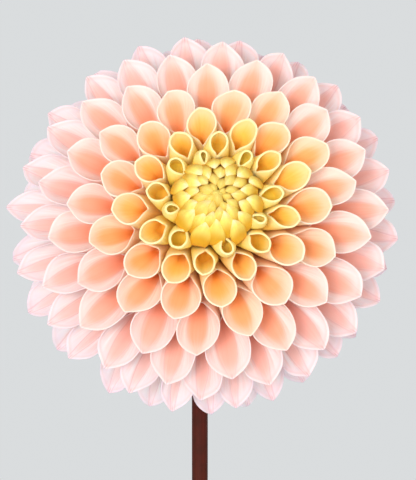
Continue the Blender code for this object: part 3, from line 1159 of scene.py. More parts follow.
@dataclass(frozen=True)
class FloretForm:
    """How a floret's wall is shaped at each age, from a closed tube to a folded petal.

    A floret's age is its number in the spiral. Its levels run from 0 at its foot to 1 at
    its lip, and its turns go about it from its tip to its seam, which faces the heart. A
    pair of ages, levels or sides is where a change starts and ends, and any other pair is
    the value in young and in old florets.
    """

    # The net of points: columns about the floret, rings along it.
    half_turns: int = 24
    fold_column: int = 4
    side_column: int = 14
    side_turn: float = math.radians(100.0)
    outer_levels: int = 14
    outer_spacing: float = 0.8
    inner_levels: int = 12

    # The wall from the foot to the mouth.
    foot_lift: float = 0.03
    foot_width: float = 0.92
    foot_levels: Span = (0.0, 0.5)
    body_square: float = 9.0
    lip_square: Span = (2.0, 3.6)
    body_top: float = 0.82
    fill: float = 0.97
    crowding: float = 0.10
    crowding_ages: Span = (4.0, 12.0)
    mouth_ages: Numbers = (0, 3, 6, 9, 13, 20)
    mouth_widths: Numbers = (0.56, 0.68, 0.8, 0.88, 0.95, 1.0)
    opening_ages: Span = (2.0, 12.0)
    closing_start: Span = (0.93, 0.88)
    lip_curl: float = 0.999
    neck: Span = (0.30, 0.12)
    neck_ages: Span = (50.0, 90.0)
    neck_levels: Span = (0.6, 1.0)
    neck_side: Span = (0.35, 1.0)

    # The folds, which lie along the keeled petals and meet at the tip.
    keel_ages: Span = (14.0, 42.0)
    old_ages: Span = (45.0, 105.0)
    fold_degrees: Span = (66.0, 34.0)
    fold_gap: float = math.radians(2.0)
    fold_closing: Span = (0.66, 0.5)
    fold_end: float = 1.04
    fold_strength: Span = (0.5, 1.0)
    fold_fading: Span = (0.45, 0.1)
    fold_fading_levels: Span = (0.72, 1.0)
    # The wing mask: the side walls, which the petal material paints paler, partly as a painted
    # highlight.
    wing_ages: Span = (50.0, 100.0)
    wing_start: Span = (2.4, 3.4)
    wing_end: Span = (6.6, 4.6)

    # The spread of the mouth.
    spread_levels: Span = (0.7, 1.0)
    early_ages: Span = (2.0, 9.0)
    flare: float = 0.15
    flare_ages: Span = (8.0, 30.0)
    flare_side: Span = (0.0, 0.75)
    point: float = 0.10
    tip_width: float = 0.2
    shoulder: Span = (0.07, 0.22)
    shoulder_turn: float = 0.8
    shoulder_width: float = 0.4
    tip_pinch: float = 0.07
    tip_pinch_width: float = 0.3
    seam_pinch: Span = (0.02, 0.12)
    seam_pinch_ages: Span = (10.0, 30.0)
    seam_pinch_width: float = 0.35

    # The lip, from the tip to the seam.
    seam_top: float = 0.94
    seam_drop: float = 0.30
    seam_lowest: float = 90.0
    straightness: float = 0.2
    keel_straightness: float = 0.1
    cusp: float = 0.008
    notch: float = 0.03
    notch_width: float = 0.4
    tube_rise: float = 0.035
    tube_ages: Span = (8.0, 22.0)

    # The rim's thickness and the throat.
    rim_young: float = 0.62 * MM
    rim_old: float = 0.30 * MM
    rim_ages: Span = (4.0, 45.0)
    rim_length: float = 45.0 * MM
    rim_rises: Numbers = (0.35, 0.5, 0.35)
    rim_insets: Numbers = (0.15, 0.5, 0.85)
    rim_inside: Numbers = (0.0, 0.5, 1.0)
    foot_scale: float = 0.2
    least_opening: float = 0.14
    throat_narrowing: float = 0.75
    throat_ages: Span = (6.0, 22.0)
    throat_end_ages: Numbers = (0, 12, 26, 60)
    throat_ends: Numbers = (0.93, 0.80, 0.72, 0.56)

    # What differs from floret to floret.
    first_seed: int = 1000
    settled_ages: Span = (3.0, 16.0)
    wave_phase: float = 6.28
    double_wave: float = 0.008
    triple_wave: float = 0.005
    lean_wave: float = 0.02
    size_play: float = 0.04
    twist_play: float = 0.05
    nod_play: float = 0.014

    def keel(self, index: int) -> float:
        """0 for a round tube, 1 for a petal with folds."""
        return float(ease(*self.keel_ages, index))

    def columns(self) -> np.ndarray:
        """Numbers of the columns about the floret, 0 being the tip's."""
        return np.arange(-self.half_turns, self.half_turns)[None, :]

    def lip_share(self, index: int, turn: np.ndarray) -> np.ndarray:
        """Find how far out the lip lies at each turn.

        Args:
            index: The floret's number in the spiral.
            turn: The turns.

        Returns:
            Shares of the way from the receptacle to the dome.
        """
        away, keel = np.abs(turn), self.keel(index)
        seam = self.seam_top - self.seam_drop * min(index, self.seam_lowest) / self.seam_lowest
        round_edge = 0.5 + 0.5 * np.cos(turn)
        straight_edge = 1.0 - away / math.pi
        straight = self.straightness + self.keel_straightness * keel
        lip = seam + (1 - seam) * blend(round_edge, straight_edge, straight)
        lip = lip + self.cusp * keel * np.exp(-away / self.tip_width)
        notch = self.notch * bell(math.pi - away, self.notch_width)
        lip = lip - notch * ease(*self.opening_ages, index)
        return lip + self.tube_rise * (1.0 - ease(*self.tube_ages, index))

    def folds(self, index: int, level: np.ndarray) -> tuple[np.ndarray, np.ndarray]:
        """Find the two folds at each level.

        Args:
            index: The floret's number in the spiral.
            level: The levels.

        Returns:
            The folds' turn and their strength.
        """
        keel, age = self.keel(index), ease(*self.old_ages, index)
        even = math.pi * self.fold_column / self.half_turns
        wide = math.radians(blend(*self.fold_degrees, age))
        closing = ease(blend(*self.fold_closing, age), self.fold_end, level)
        turn = wide * (1.0 - closing) + self.fold_gap
        fading = blend(*self.fold_fading, age) * ease(*self.fold_fading_levels, level)
        strength = keel * blend(*self.fold_strength, age) * (1.0 - fading)
        return blend(even, turn, keel), strength

    def turns(self, rib: np.ndarray) -> np.ndarray:
        """Pack the columns so that one of them follows each fold.

        Args:
            rib: The folds' turn at each level.

        Returns:
            The turn of each column at each level.
        """
        column = self.columns()
        place = np.abs(column)
        floor = place / self.fold_column * rib
        wall = rib + (place - self.fold_column) / (self.side_column - self.fold_column) * (
            self.side_turn - rib)
        back = self.side_turn + (place - self.side_column) / (
            self.half_turns - self.side_column) * (math.pi - self.side_turn)
        turn = np.where(place < self.fold_column, floor,
                        np.where(place < self.side_column, wall, back))
        return turn * np.where(column < 0, -1.0, 1.0)

    def flats(self, away: np.ndarray, rib: np.ndarray) -> np.ndarray:
        """Share of a round wall that is left where it lies flat between the folds.

        Args:
            away: The turns, whichever way they go.
            rib: The folds' turn.

        Returns:
            The shares.
        """
        floor = np.cos(rib) / np.cos(np.minimum(away, rib))
        wing = (np.cos(0.5 * (self.side_turn - rib))
                / np.cos(away - 0.5 * (rib + self.side_turn)))
        return np.where(away < rib, floor, np.where(away < self.side_turn, wing, 1.0))

    def spread(self, index: int, turn: np.ndarray) -> np.ndarray:
        """Find how much the mouth widens at each turn.

        Args:
            index: The floret's number in the spiral.
            turn: The turns.

        Returns:
            Shares of the body's width, below 0 where the mouth is pinched.
        """
        away = np.abs(turn)
        outward = ease(*self.flare_side, 0.5 + 0.5 * np.cos(turn))
        flare = self.flare * ease(*self.flare_ages, index) * outward
        point = self.point * np.exp(-away / self.tip_width) * ease(*self.early_ages, index)
        broad = blend(*self.shoulder, ease(*self.old_ages, index))
        shoulder = self.keel(index) * (
            broad * bell(away - self.shoulder_turn, self.shoulder_width)
            - self.tip_pinch * bell(away, self.tip_pinch_width))
        pinch = blend(*self.seam_pinch, ease(*self.seam_pinch_ages, index)) * bell(
            math.pi - away, self.seam_pinch_width)
        return flare + point + shoulder - pinch

    def profile(self, index: int, level: np.ndarray, turn: np.ndarray,
                rib: np.ndarray, strength: np.ndarray) -> np.ndarray:
        """Find the share of the cell's reach that the wall takes.

        Args:
            index: The floret's number in the spiral.
            level: The level of each ring.
            turn: The turn of each point.
            rib: The folds' turn at each level.
            strength: The folds' strength at each level.

        Returns:
            The share at each point.
        """
        mouth = float(np.interp(index, self.mouth_ages, self.mouth_widths))
        body = blend(self.foot_width, 1.0, ease(*self.foot_levels, level))
        start = blend(*self.closing_start, ease(*self.opening_ages, index))
        closing = np.clip((level - start) / (1.0 - start), 0.0, 1.0)
        body = body * (mouth + (1.0 - mouth) * np.sqrt(1.0 - self.lip_curl * closing ** 2))
        body = body * (1.0 + (self.flats(np.abs(turn), rib) - 1.0) * strength)
        inward = ease(*self.neck_side, 0.5 - 0.5 * np.cos(turn)) * ease(*self.early_ages, index)
        neck = blend(*self.neck, ease(*self.neck_ages, index))
        body = body * (1.0 - neck * inward * ease(*self.neck_levels, level))
        fill = blend(1.0, self.fill, ease(self.body_top, 1.0, level))
        fill = fill + self.crowding * (1.0 - ease(*self.crowding_ages, index))
        return body * (1.0 + self.spread(index, turn) * ease(*self.spread_levels, level)) * fill

    def throat_end(self, index: int) -> float:
        """Level at which the throat ends; deepest in the old petals."""
        return float(np.interp(index, self.throat_end_ages, self.throat_ends))

    def funnel(self, index: int, level: np.ndarray) -> np.ndarray:
        """Share of the throat's width that is left at each level."""
        depth = (1.0 - level) / (1.0 - self.throat_end(index))
        return 1.0 - self.throat_narrowing * ease(0.0, 1.0, depth) * ease(*self.throat_ages, index)

    def sections(self, index: int) -> tuple[np.ndarray, np.ndarray, np.ndarray]:
        """Lay out the rings: up the outside, over the rim and down the throat.

        Args:
            index: The floret's number in the spiral.

        Returns:
            Each ring's level, its inset from the outer wall, and how far it is inside.
        """
        rim = blend(self.rim_young, self.rim_old, ease(*self.rim_ages, index))
        outer = np.linspace(0.0, 1.0, self.outer_levels)[:, None] ** self.outer_spacing
        inner = np.linspace(1.0, self.throat_end(index), self.inner_levels)[:, None]
        rounding = 1.0 + rim / self.rim_length * as_column(self.rim_rises)
        levels = np.concatenate([outer, rounding, inner])
        insets = np.concatenate([np.zeros_like(outer), rim * as_column(self.rim_insets),
                                 np.full_like(inner, rim)])
        inside = np.concatenate([np.zeros_like(outer), as_column(self.rim_inside),
                                 np.ones_like(inner)])
        return levels, insets, inside

    def waves(self, turn: np.ndarray, chance: random.Random) -> np.ndarray:
        """Draw the small waves of one floret's lip.

        Args:
            turn: The turns.
            chance: The floret's own draws.

        Returns:
            What the waves add to the lip's share.
        """
        wave = self.double_wave * np.sin(2 * turn + chance.uniform(0, self.wave_phase))
        wave += self.triple_wave * np.sin(3 * turn + chance.uniform(0, self.wave_phase))
        return wave + sway(chance, self.lean_wave) * np.sin(turn)

    def add_to(self, parts: MeshParts, form: BloomForm, index: int) -> None:
        """Add one floret: its outer wall, its rim and its throat.

        Args:
            parts: The piece that it joins.
            form: The bloom.
            index: The floret's number in the spiral.
        """
        chance = random.Random(self.first_seed + index)
        cell, keel = form.cell(index), self.keel(index)
        settled = ease(*self.settled_ages, index)
        levels, insets, inside = self.sections(index)
        low = np.minimum(levels, 1.0)
        rib, strength = self.folds(index, low)
        turn = self.turns(rib)
        lip = self.lip_share(index, turn) + self.waves(turn, chance) * settled
        share = self.foot_lift + (lip - self.foot_lift) * levels
        size = blend(form.reach(index, turn, self.body_square),
                     form.reach(index, turn, blend(*self.lip_square, keel)),
                     ease(self.body_top, 1.0, low))
        size = size * self.profile(index, low, turn, rib, strength)
        narrowed = np.where(inside == 1.0, self.funnel(index, low), 1.0)
        thinned = size - insets / blend(self.foot_scale, 1.0, share)
        size = np.maximum(thinned, self.least_opening * size) * narrowed
        size = size * (1.0 + sway(chance, self.size_play) * settled * low)
        twist = sway(chance, self.twist_play) * settled * (low - 0.5)
        nod = sway(chance, self.nod_play) * settled * low ** 3
        points = form.points(cell.theta + nod + size * np.cos(turn) / cell.along,
                             cell.azimuth + size * np.sin(turn) / cell.across + twist, share)
        column, place = self.columns(), np.abs(self.columns())
        # Masks for painted light and shade: wing marks the side walls painted paler, fold marks
        # the crease line painted darker.
        grown = ease(*self.wing_ages, index)
        wing = ease(blend(*self.wing_start, grown), blend(*self.wing_end, grown), place)
        parts.add_tube(points, row=index, along=low, across=column / self.half_turns,
                       seed=chance.random(), wing=keel * wing,
                       fold=keel * (place == self.fold_column), inside=inside)


@dataclass(frozen=True)
class Row:
    """A run of florets that is one piece, or one piece each.

    Its shades are the numbers in PETAL_SHADES of its first and last colours.
    """

    node: str
    piece: str
    first: int
    last: int
    slot: Slot
    shades: tuple[int, int]


@dataclass
class Florets:
    """All the open florets, in joined rows and as loose outer petals."""

    form: BloomForm
    shape: FloretForm = FloretForm()
    rows: tuple[Row, ...] = (
        Row("floret_ring_1", "floret_row_1", 0, 13, Slot.GOLD, (0, 1)),
        Row("floret_ring_2", "floret_row_2", 13, 26, Slot.APRICOT, (1, 2)),
        Row("floret_ring_3", "floret_row_3", 26, 47, Slot.SALMON, (2, 3)),
        Row("floret_ring_4", "floret_row_4", 47, 68, Slot.SALMON, (3, 4)),
        Row("back_petal_ring", "back_petals", 109, 130, Slot.BLUSH, (5, 6)),
    )
    loose: Row = Row("petal", "outer_petal", 68, 109, Slot.BLUSH, (4, 5))

    def material(self, row: Row, effects: Effects) -> bpy.types.Material:
        """Make the petal material of a row.

        Args:
            row: The row.
            effects: The shared node groups.

        Returns:
            The material.
        """
        first, last = (PETAL_SHADES[k] for k in row.shades)
        return PetalFinish(name=row.piece + "_tissue", first=first, last=last).make(effects)

    def add_piece(self, name: str, node: str, material: bpy.types.Material,
                  indices: range) -> None:
        """Make one piece of one or more florets.

        Args:
            name: The piece's name.
            node: The node that it stands for.
            material: Its material.
            indices: Its florets' numbers in the spiral.
        """
        parts = MeshParts(FLORET_VALUES)
        for index in indices:
            self.shape.add_to(parts, self.form, index)
        fix(parts.make(name, material), node)

    def build(self, effects: Effects) -> None:
        """Make every row and every loose petal.

        Args:
            effects: The shared node groups.
        """
        for row in self.rows:
            self.add_piece(row.piece, row.node, self.material(row, effects),
                           range(row.first, row.last))
        loose, material = self.loose, self.material(self.loose, effects)
        for number, index in enumerate(range(loose.first, loose.last), 1):
            self.add_piece("%s_%02d" % (loose.piece, number), "%s_%02d" % (loose.node, number),
                           material, range(index, index + 1))


@dataclass
class BudHeart:
    """The dome of closed florets in the middle, each a pointed scale over the next.

    A scale's age runs from 0 in the middle to 1 at the edge. A pair of ages is where a
    change starts and ends, and a draw lies between its pair. Any other pair is the value
    in the middle and at the edge, or on the heart's small side and on its big side.
    """

    form: BloomForm

    # The body under the scales.
    core_turns: int = 48
    core_walls: Numbers = (2.0, 5.0, 7.0, 9.5, 11.0)
    core_shares: Numbers = (0.03, 0.05, 0.4, 0.75, 0.9)
    core_caps: Numbers = (11.0, 9.0, 7.0, 5.0, 3.0, 1.0, 0.05)
    core_sink: float = 1.4 * MM
    core_row: float = -20.0
    core_across: float = 0.9

    # A scale's net, its width and its length.
    levels: int = 14
    around: int = 28
    fill: float = 0.76
    fill_growth: Span = (0.9, 1.0)
    big_azimuth: float = math.radians(215.0)
    big_width: Span = (0.86, 1.08)
    width_draw: Span = (0.92, 1.08)
    length: Span = (1.3, 1.14)
    length_draw: Span = (0.86, 1.12)
    length_scale: float = 2.0
    root: Span = (1.05, 0.8)
    root_ages: Span = (0.7, 1.0)

    # Its outline from root to tip, and its height over the heart.
    plump: float = 0.72
    swell: float = 0.38
    swell_power: float = 0.8
    taper_power: float = 3.2
    taper_roundness: float = 0.75
    tent: float = 1.15
    tent_power: float = 1.15
    ridge: float = 0.35
    ridge_power: float = 0.6
    height: float = 0.52
    height_swell: float = 0.34
    flat_tip_power: int = 4
    underside: float = 0.9 * MM
    sink: float = 2.6 * MM
    sink_power: float = 1.5
    tip_lift: float = 0.3 * MM
    tip_lift_growth: float = 0.55 * MM

    # What differs from scale to scale.
    first_seed: int = 500
    lift_play: float = 0.4 * MM
    skew_play: float = 0.3

    def surface(self, theta: Values, azimuth: Values, lift: Values) -> np.ndarray:
        """Find world points on the heart, raised along the bloom's axis.

        Args:
            theta: Angle from the axis.
            azimuth: Angle about it.
            lift: Height over the heart.

        Returns:
            Points, in the broadcast shape of the three and 3.
        """
        radius = self.form.radius * np.sin(theta)
        side, rise = self.form.drift(theta)
        return self.form.to_world(radius * np.cos(azimuth) + side,
                                  radius * np.sin(azimuth) + rise,
                                  self.form.heart_depth(theta) + lift)

    def add_core(self, parts: MeshParts) -> None:
        """Add the body under the scales, from the receptacle to the dome.

        Args:
            parts: The piece that it joins.
        """
        turn = full_turn(self.core_turns)
        cone = self.form.points(np.radians(as_column(self.core_walls)), turn,
                                as_column(self.core_shares))
        dome = self.surface(np.radians(as_column(self.core_caps)), turn, -self.core_sink)
        parts.add_tube(np.concatenate([cone, dome]), row=self.core_row, along=0.0,
                       across=self.core_across, seed=0.5)

    def lift(self, width: float, age: float, along: np.ndarray, turn: np.ndarray) -> np.ndarray:
        """Find a scale's height over the heart.

        Args:
            width: Its half width.
            age: How far it is on the way to opening.
            along: Shares of the way from its root to its tip.
            turn: Turns about it.

        Returns:
            The height at each point.
        """
        tent = self.tent * (1.0 - np.abs(np.cos(turn)) ** self.tent_power)
        ridge = self.ridge * np.maximum(np.sin(turn), 0.0) ** self.ridge_power
        top = (tent + ridge) * (np.sin(turn) > 0)
        under = np.minimum(np.sin(turn), 0.0) * self.underside
        tall = width * (self.height + self.height_swell * np.sin(math.pi * along))
        lift = tall * top * (1 - along ** self.flat_tip_power) + under * (1 - along)
        lift = lift - self.sink * (1 - along) ** self.sink_power
        return lift + (self.tip_lift + self.tip_lift_growth * age) * along

    def add_scale(self, parts: MeshParts, index: int) -> None:
        """Add one closed floret: a folded, pointed body that leans to the middle.

        Args:
            parts: The piece that it joins.
            index: Its number in the spiral.
        """
        chance = random.Random(self.first_seed - index)
        cell, age = self.form.cell(index), self.form.bud_age(index)
        width = self.fill * cell.width * blend(*self.fill_growth, age)
        big_side = 0.5 + 0.5 * math.cos(cell.azimuth - self.big_azimuth)
        width = width * blend(*self.big_width, big_side) * chance.uniform(*self.width_draw)
        length = blend(*self.length, age) * chance.uniform(*self.length_draw)
        along, turn = as_column(np.linspace(0.0, 1.0, self.levels)), full_turn(self.around)
        root = blend(*self.root, ease(*self.root_ages, age))
        run = root - self.root[0] + self.length_scale * length
        theta = cell.theta + width / cell.along * (root - run * along)
        plump = self.plump + self.swell * np.sin(math.pi * along ** self.swell_power)
        plump = plump * (1 - along ** self.taper_power) ** self.taper_roundness
        lift = self.lift(width, age, along, turn) + sway(chance, self.lift_play)
        azimuth = np.where(theta < 0, cell.azimuth + math.pi, cell.azimuth)
        middle = self.surface(np.abs(theta), azimuth, lift)
        aside = cell.azimuth + math.pi / 2 + sway(chance, self.skew_play)
        across = self.form.to_world(np.cos(aside), np.sin(aside), 0.0)
        across = across - np.asarray(self.form.centre)
        side = np.cos(turn) * plump * width
        parts.add_tube(middle + side[..., None] * across, row=index, along=along,
                       across=np.cos(turn), seed=chance.random())

    def build(self, effects: Effects) -> None:
        """Make the heart as one piece.

        Args:
            effects: The shared node groups.
        """
        parts = MeshParts(("row", "along", "across", "seed"))
        self.add_core(parts)
        for index in range(-self.form.bud_count, 0):
            self.add_scale(parts, index)
        fix(parts.make("bud_cluster", BudFinish().make(effects)), "bud_heart")


# ---- green parts and stem ---------------------------------------------------
CALYX_VALUES = ("along", "across", "seed")


@dataclass
class Calyx:
    """The receptacle, its thin inner bracts and six fleshy outer bracts."""

    form: BloomForm

    # The receptacle: a round head, a neck and the top of the stem.
    head_degrees: Span = (0.5, 118.0)
    head_rings: int = 22
    head_turns: int = 40
    head_ribs: int = 10
    head_rib_height: float = 0.012
    head_seed: float = 0.4
    head_along: float = 0.7
    neck: tuple[Span, ...] = ((7.6 * MM, -14.2 * MM), (4.4 * MM, -16.8 * MM))
    stem_radius: float = 2.4 * MM
    back: float = 19.0 * MM

    # The inner bracts: one sheet with lobes, between two angles from the axis.
    lobes: int = 8
    lobe_angle: float = math.radians(121.0)
    lobe_faces: Span = (-0.012, 0.030)
    lobe_power: float = 0.7
    lobe_reach: float = 0.24
    lobe_growth: float = 0.06
    lobe_root: float = 0.012
    lobe_rings: int = 7
    lobe_turns: int = 128
    lobe_across: float = 1.3
    lobe_seed: float = 0.7

    # An outer bract: root and bend in the plane of its middle line, then its section.
    bract_count: int = 6
    bract_rings: int = 16
    bract_turns: int = 18
    bract_length: float = 17.0 * MM
    bract_width: float = 8.0 * MM
    bract_outline: Triple = (0.55, 1.5, -1.95)
    bract_thickness: float = 1.0 * MM
    bract_thinning: float = 0.45
    bract_cup: float = 0.16
    bract_root: Span = (9.25 * MM, -13.2 * MM)
    bract_bend: Span = (108.0, 148.0)
    bract_seed: float = 0.13

    def receptacle(self, material: bpy.types.Material) -> None:
        """Make the round head of the stem.

        Args:
            material: Its material.
        """
        angles = np.radians(np.linspace(*self.head_degrees, self.head_rings))
        radius = self.form.receptacle_radius
        head = np.stack([radius * np.sin(angles),
                         radius * np.cos(angles) - self.form.receptacle_set_back], axis=1)
        outline = np.concatenate([head, [*self.neck, (self.stem_radius, -self.back)]])
        turn = full_turn(self.head_turns)
        ribbed = outline[:, :1] * (1.0 + self.head_rib_height * np.cos(self.head_ribs * turn))
        rings = self.form.to_world(ribbed * np.cos(turn), ribbed * np.sin(turn), outline[:, 1:])
        parts = MeshParts(CALYX_VALUES)
        parts.add_tube(rings, along=as_column(np.linspace(0.0, self.head_along, len(outline))),
                       across=turn / math.pi, seed=self.head_seed)
        fix(parts.make("flower_base", material), "receptacle")

    def inner_whorl(self, material: bpy.types.Material) -> None:
        """Make the thin papery lobes behind the last petals, as one piece.

        Args:
            material: Their material.
        """
        turn = full_turn(self.lobe_turns)
        lobe = np.abs(np.cos(0.5 * self.lobes * turn)) ** self.lobe_power
        reach = self.lobe_reach + self.lobe_growth * lobe
        shares = as_column(np.linspace(self.lobe_root, 1.0, self.lobe_rings)) * reach
        along = as_column(np.linspace(0.0, 1.0, self.lobe_rings))
        angles = self.lobe_angle + as_column(np.repeat(self.lobe_faces, self.lobe_rings))
        rings = self.form.points(angles, turn, np.concatenate([shares, shares[::-1]]))
        parts = MeshParts(CALYX_VALUES)
        parts.add_tube(rings, Ends.JOINED, along=np.concatenate([along, along[::-1]]),
                       across=turn * self.lobe_across, seed=self.lobe_seed)
        fix(parts.make("papery_bracts", material), "inner_bracts")

    def outer_bract(self, number: int, material: bpy.types.Material) -> None:
        """Make one fleshy bract that curls back towards the stem.

        Args:
            number: Its number from 0, about the stem.
            material: Its material.
        """
        azimuth = 2 * math.pi * (number + 0.5) / self.bract_count
        share = as_column(np.linspace(0.0, 1.0, self.bract_rings))
        turn = full_turn(self.bract_turns)
        bend = np.radians(blend(*self.bract_bend, share))
        reach = self.bract_length * share
        root, widening, narrowing = self.bract_outline
        half_width = 0.5 * self.bract_width * (root + widening * share + narrowing * share ** 2)
        half_thick = 0.5 * self.bract_thickness * (1.0 - self.bract_thinning * share)
        lift = half_thick * np.sin(turn) - self.bract_cup * half_width * np.cos(turn) ** 2
        r = self.bract_root[0] + reach * np.sin(bend) - np.cos(bend) * lift
        d = self.bract_root[1] + reach * np.cos(bend) + np.sin(bend) * lift
        side = half_width * np.cos(turn)
        rings = self.form.to_world(r * math.cos(azimuth) - side * math.sin(azimuth),
                                   r * math.sin(azimuth) + side * math.cos(azimuth), d)
        parts = MeshParts(CALYX_VALUES)
        parts.add_tube(rings, along=share, across=np.cos(turn), seed=self.bract_seed * number)
        fix(parts.make("green_bract_%d" % (number + 1), material),
            "outer_bract_%d" % (number + 1))

    def build(self, effects: Effects) -> None:
        """Make all the green pieces.

        Args:
            effects: The shared node groups.
        """
        material = GreenFinish().make(effects)
        self.receptacle(material)
        self.inner_whorl(material)
        for number in range(self.bract_count):
            self.outer_bract(number, material)


@dataclass
class Stem:
    """The bare stem: straight from the vase's floor, then bent to the bloom."""

    form: BloomForm

    # The route of its middle line.
    foot: Triple = (1.6 * MM, 4.0 * MM, 6.55 * MM)
    rest: Triple = (0.0, -7.2 * MM, 144.0 * MM)
    bend_height: float = 270.0 * MM
    bend_pull: float = 0.42
    top_back: float = 19.45 * MM
    low_steps: int = 14
    middle_steps: int = 12
    bend_steps: int = 24

    # Its section.
    radius: float = 2.4 * MM
    around: int = 36
    top_swell: float = 0.05
    top_levels: Span = (0.93, 1.0)
    wander: float = 0.02
    wander_turns: float = 31.0
    ribs: int = 9
    rib_middle: float = 0.985
    rib_height: float = 0.022
    rib_twist: float = 2.0

    def route(self) -> np.ndarray:
        """Find points along the stem's middle.

        Returns:
            The points, from the foot to the bloom.
        """
        rest, foot = Vector(self.rest), Vector(self.foot)
        lean = (rest - foot) / (rest.z - foot.z)
        bend = rest + lean * (self.bend_height - rest.z)
        bend.x = 0.0
        centre = Vector(self.form.centre)
        axis = (Vector(self.form.to_world(0.0, 0.0, 1.0)) - centre).normalized()
        end = Vector(self.form.to_world(0.0, 0.0, -self.top_back))
        reach = self.bend_pull * (end - bend).length
        corners = (bend, bend + lean.normalized() * reach, end - axis * reach, end)
        points = [foot.lerp(rest, k / self.low_steps) for k in range(self.low_steps)]
        points += [rest.lerp(bend, k / self.middle_steps) for k in range(self.middle_steps)]
        for k in range(self.bend_steps + 1):
            t = k / self.bend_steps
            weights = ((1 - t) ** 3, 3 * t * (1 - t) ** 2, 3 * t ** 2 * (1 - t), t ** 3)
            points.append(sum((w * c for w, c in zip(weights, corners)), Vector()))
        return np.array(points)

    def build(self, effects: Effects) -> None:
        """Make the stem as one piece with fine ribs.

        Args:
            effects: The shared node groups.
        """
        points = self.route()
        ahead = np.gradient(points, axis=0)
        ahead /= np.linalg.norm(ahead, axis=1, keepdims=True)
        back = np.cross(ahead, np.array([1.0, 0.0, 0.0]))
        back /= np.linalg.norm(back, axis=1, keepdims=True)
        across = np.cross(back, ahead)
        turn, along = full_turn(self.around), as_column(np.linspace(0.0, 1.0, len(points)))
        swell = (1.0 + self.top_swell * ease(*self.top_levels, along)
                 + self.wander * np.sin(along * self.wander_turns))
        ribbed = self.rib_middle + self.rib_height * np.cos(
            self.ribs * turn + along * self.rib_twist)
        radius = self.radius * swell * ribbed
        rings = (points[:, None, :] + (radius * np.cos(turn))[..., None] * across[:, None, :]
                 + (radius * np.sin(turn))[..., None] * back[:, None, :])
        parts = MeshParts(("along", "across"))
        parts.add_tube(rings, along=along, across=turn / math.pi)
        fix(parts.make("flower_stem", StemFinish().make(effects)), "stem")


# ---- vase -------------------------------------------------------------------
@dataclass
class Vase:
    """One turned bottle with a glazed wall and a bare clay foot.

    Its sizes are in millimetres, and its outlines are radii and heights.
    """

    outline: tuple[Span, ...] = (
        (34.0, 0.0), (38.6, 10.0), (42.5, 36.0), (41.2, 66.0), (33.0, 92.0),
        (19.5, 114.0), (13.8, 130.0), (13.0, 144.0), (16.2, 160.0))
    base: tuple[Span, ...] = ((0.05, 1.2), (26.0, 1.2), (28.5, 0.0), (33.2, 0.0))
    wall: float = 3.0
    mouth_thinning: float = 0.5
    floor: float = 6.0
    floor_radii: Span = (18.0, 0.05)
    floor_corner: float = 2.0
    lip_rise: float = 0.8
    lip_points: int = 7
    thin_margin: int = 2
    turns: int = 128
    steps: int = 8
    foot_band: float = 3.0
    foot_slope: float = 0.2

    def smooth(self) -> np.ndarray:
        """Find points along a curve through the outline.

        Returns:
            The points, in millimetres.
        """
        ends = [self.outline[0], *self.outline, self.outline[-1]]
        curve = []
        for k in range(1, len(ends) - 2):
            a, b, c, d = (np.array(p) for p in ends[k - 1:k + 3])
            for t in np.arange(self.steps) / self.steps:
                curve.append(0.5 * (2 * b + (c - a) * t + (2 * a - 5 * b + 4 * c - d) * t ** 2
                                    + (3 * b - 3 * c + d - a) * t ** 3))
        return np.array([*curve, self.outline[-1]])

    def section(self) -> tuple[np.ndarray, np.ndarray]:
        """Go round the wall: under the foot, up the outside, over the lip and down inside.

        Returns:
            The points in metres, and how thin the glaze is at each, which is most on the lip.
        """
        outer = self.smooth()
        inner = outer[self.steps:] - np.array([self.wall, 0.0])
        thinned = self.steps // 2
        inner[-thinned:, 0] += np.linspace(0.0, self.mouth_thinning, thinned)
        lip_turn = np.linspace(0.0, math.pi, self.lip_points + 2)[1:-1]
        middle = 0.5 * (outer[-1] + inner[-1])
        half = 0.5 * (outer[-1, 0] - inner[-1, 0])
        lip = middle + np.stack([half * np.cos(lip_turn),
                                 self.lip_rise * np.sin(lip_turn)], axis=1)
        well = [(inner[0, 0] - self.floor_corner, self.floor),
                *((radius, self.floor) for radius in self.floor_radii)]
        outline = np.concatenate([self.base, outer[1:], lip, inner[::-1], well]) * MM
        first = len(self.base) + len(outer) - 1 - self.thin_margin
        count = len(lip) + 2 * self.thin_margin
        thin = np.zeros(len(outline))
        thin[first:first + count] = np.sin(np.linspace(0.0, math.pi, count))
        return outline, thin

    def build(self, effects: Effects) -> None:
        """Make the vase, its outside, lip, inside and foot.

        Args:
            effects: The shared node groups.
        """
        outline, thin = self.section()
        turn = full_turn(self.turns)
        rings = np.stack(np.broadcast_arrays(outline[:, :1] * np.cos(turn),
                                             outline[:, :1] * np.sin(turn),
                                             outline[:, 1:]), axis=-1)
        parts = MeshParts(("along", "across", "thin"))
        parts.add_tube(rings, along=outline[:, 1:] / (self.outline[-1][1] * MM),
                       across=np.abs(turn / math.pi - 1.0), thin=as_column(thin))
        piece = parts.make("bottle_vase", GlazeFinish().make(effects))
        piece.data.materials.append(ClayFinish().make(effects))
        for face in piece.data.polygons:
            if face.center.z < self.foot_band * MM and face.normal.z < self.foot_slope:
                face.material_index = 1
        fix(piece, "vase")


# ---- stage, lights and camera -----------------------------------------------
@dataclass(frozen=True)
class Lamp:
    """One square area lamp."""

    name: str
    place: Triple
    size: float
    power: float
    colour: Triple

    def build(self, aim: Triple) -> None:
        """Add the lamp, turned to face a point.

        Args:
            aim: The point.
        """
        data = bpy.data.lights.new(self.name, "AREA")
        data.size, data.energy, data.color = self.size, self.power, self.colour
        lamp = add_object(self.name, data)
        lamp.location = self.place
        way = Vector(aim) - Vector(self.place)
        lamp.rotation_euler = way.to_track_quat("-Z", "Y").to_euler()


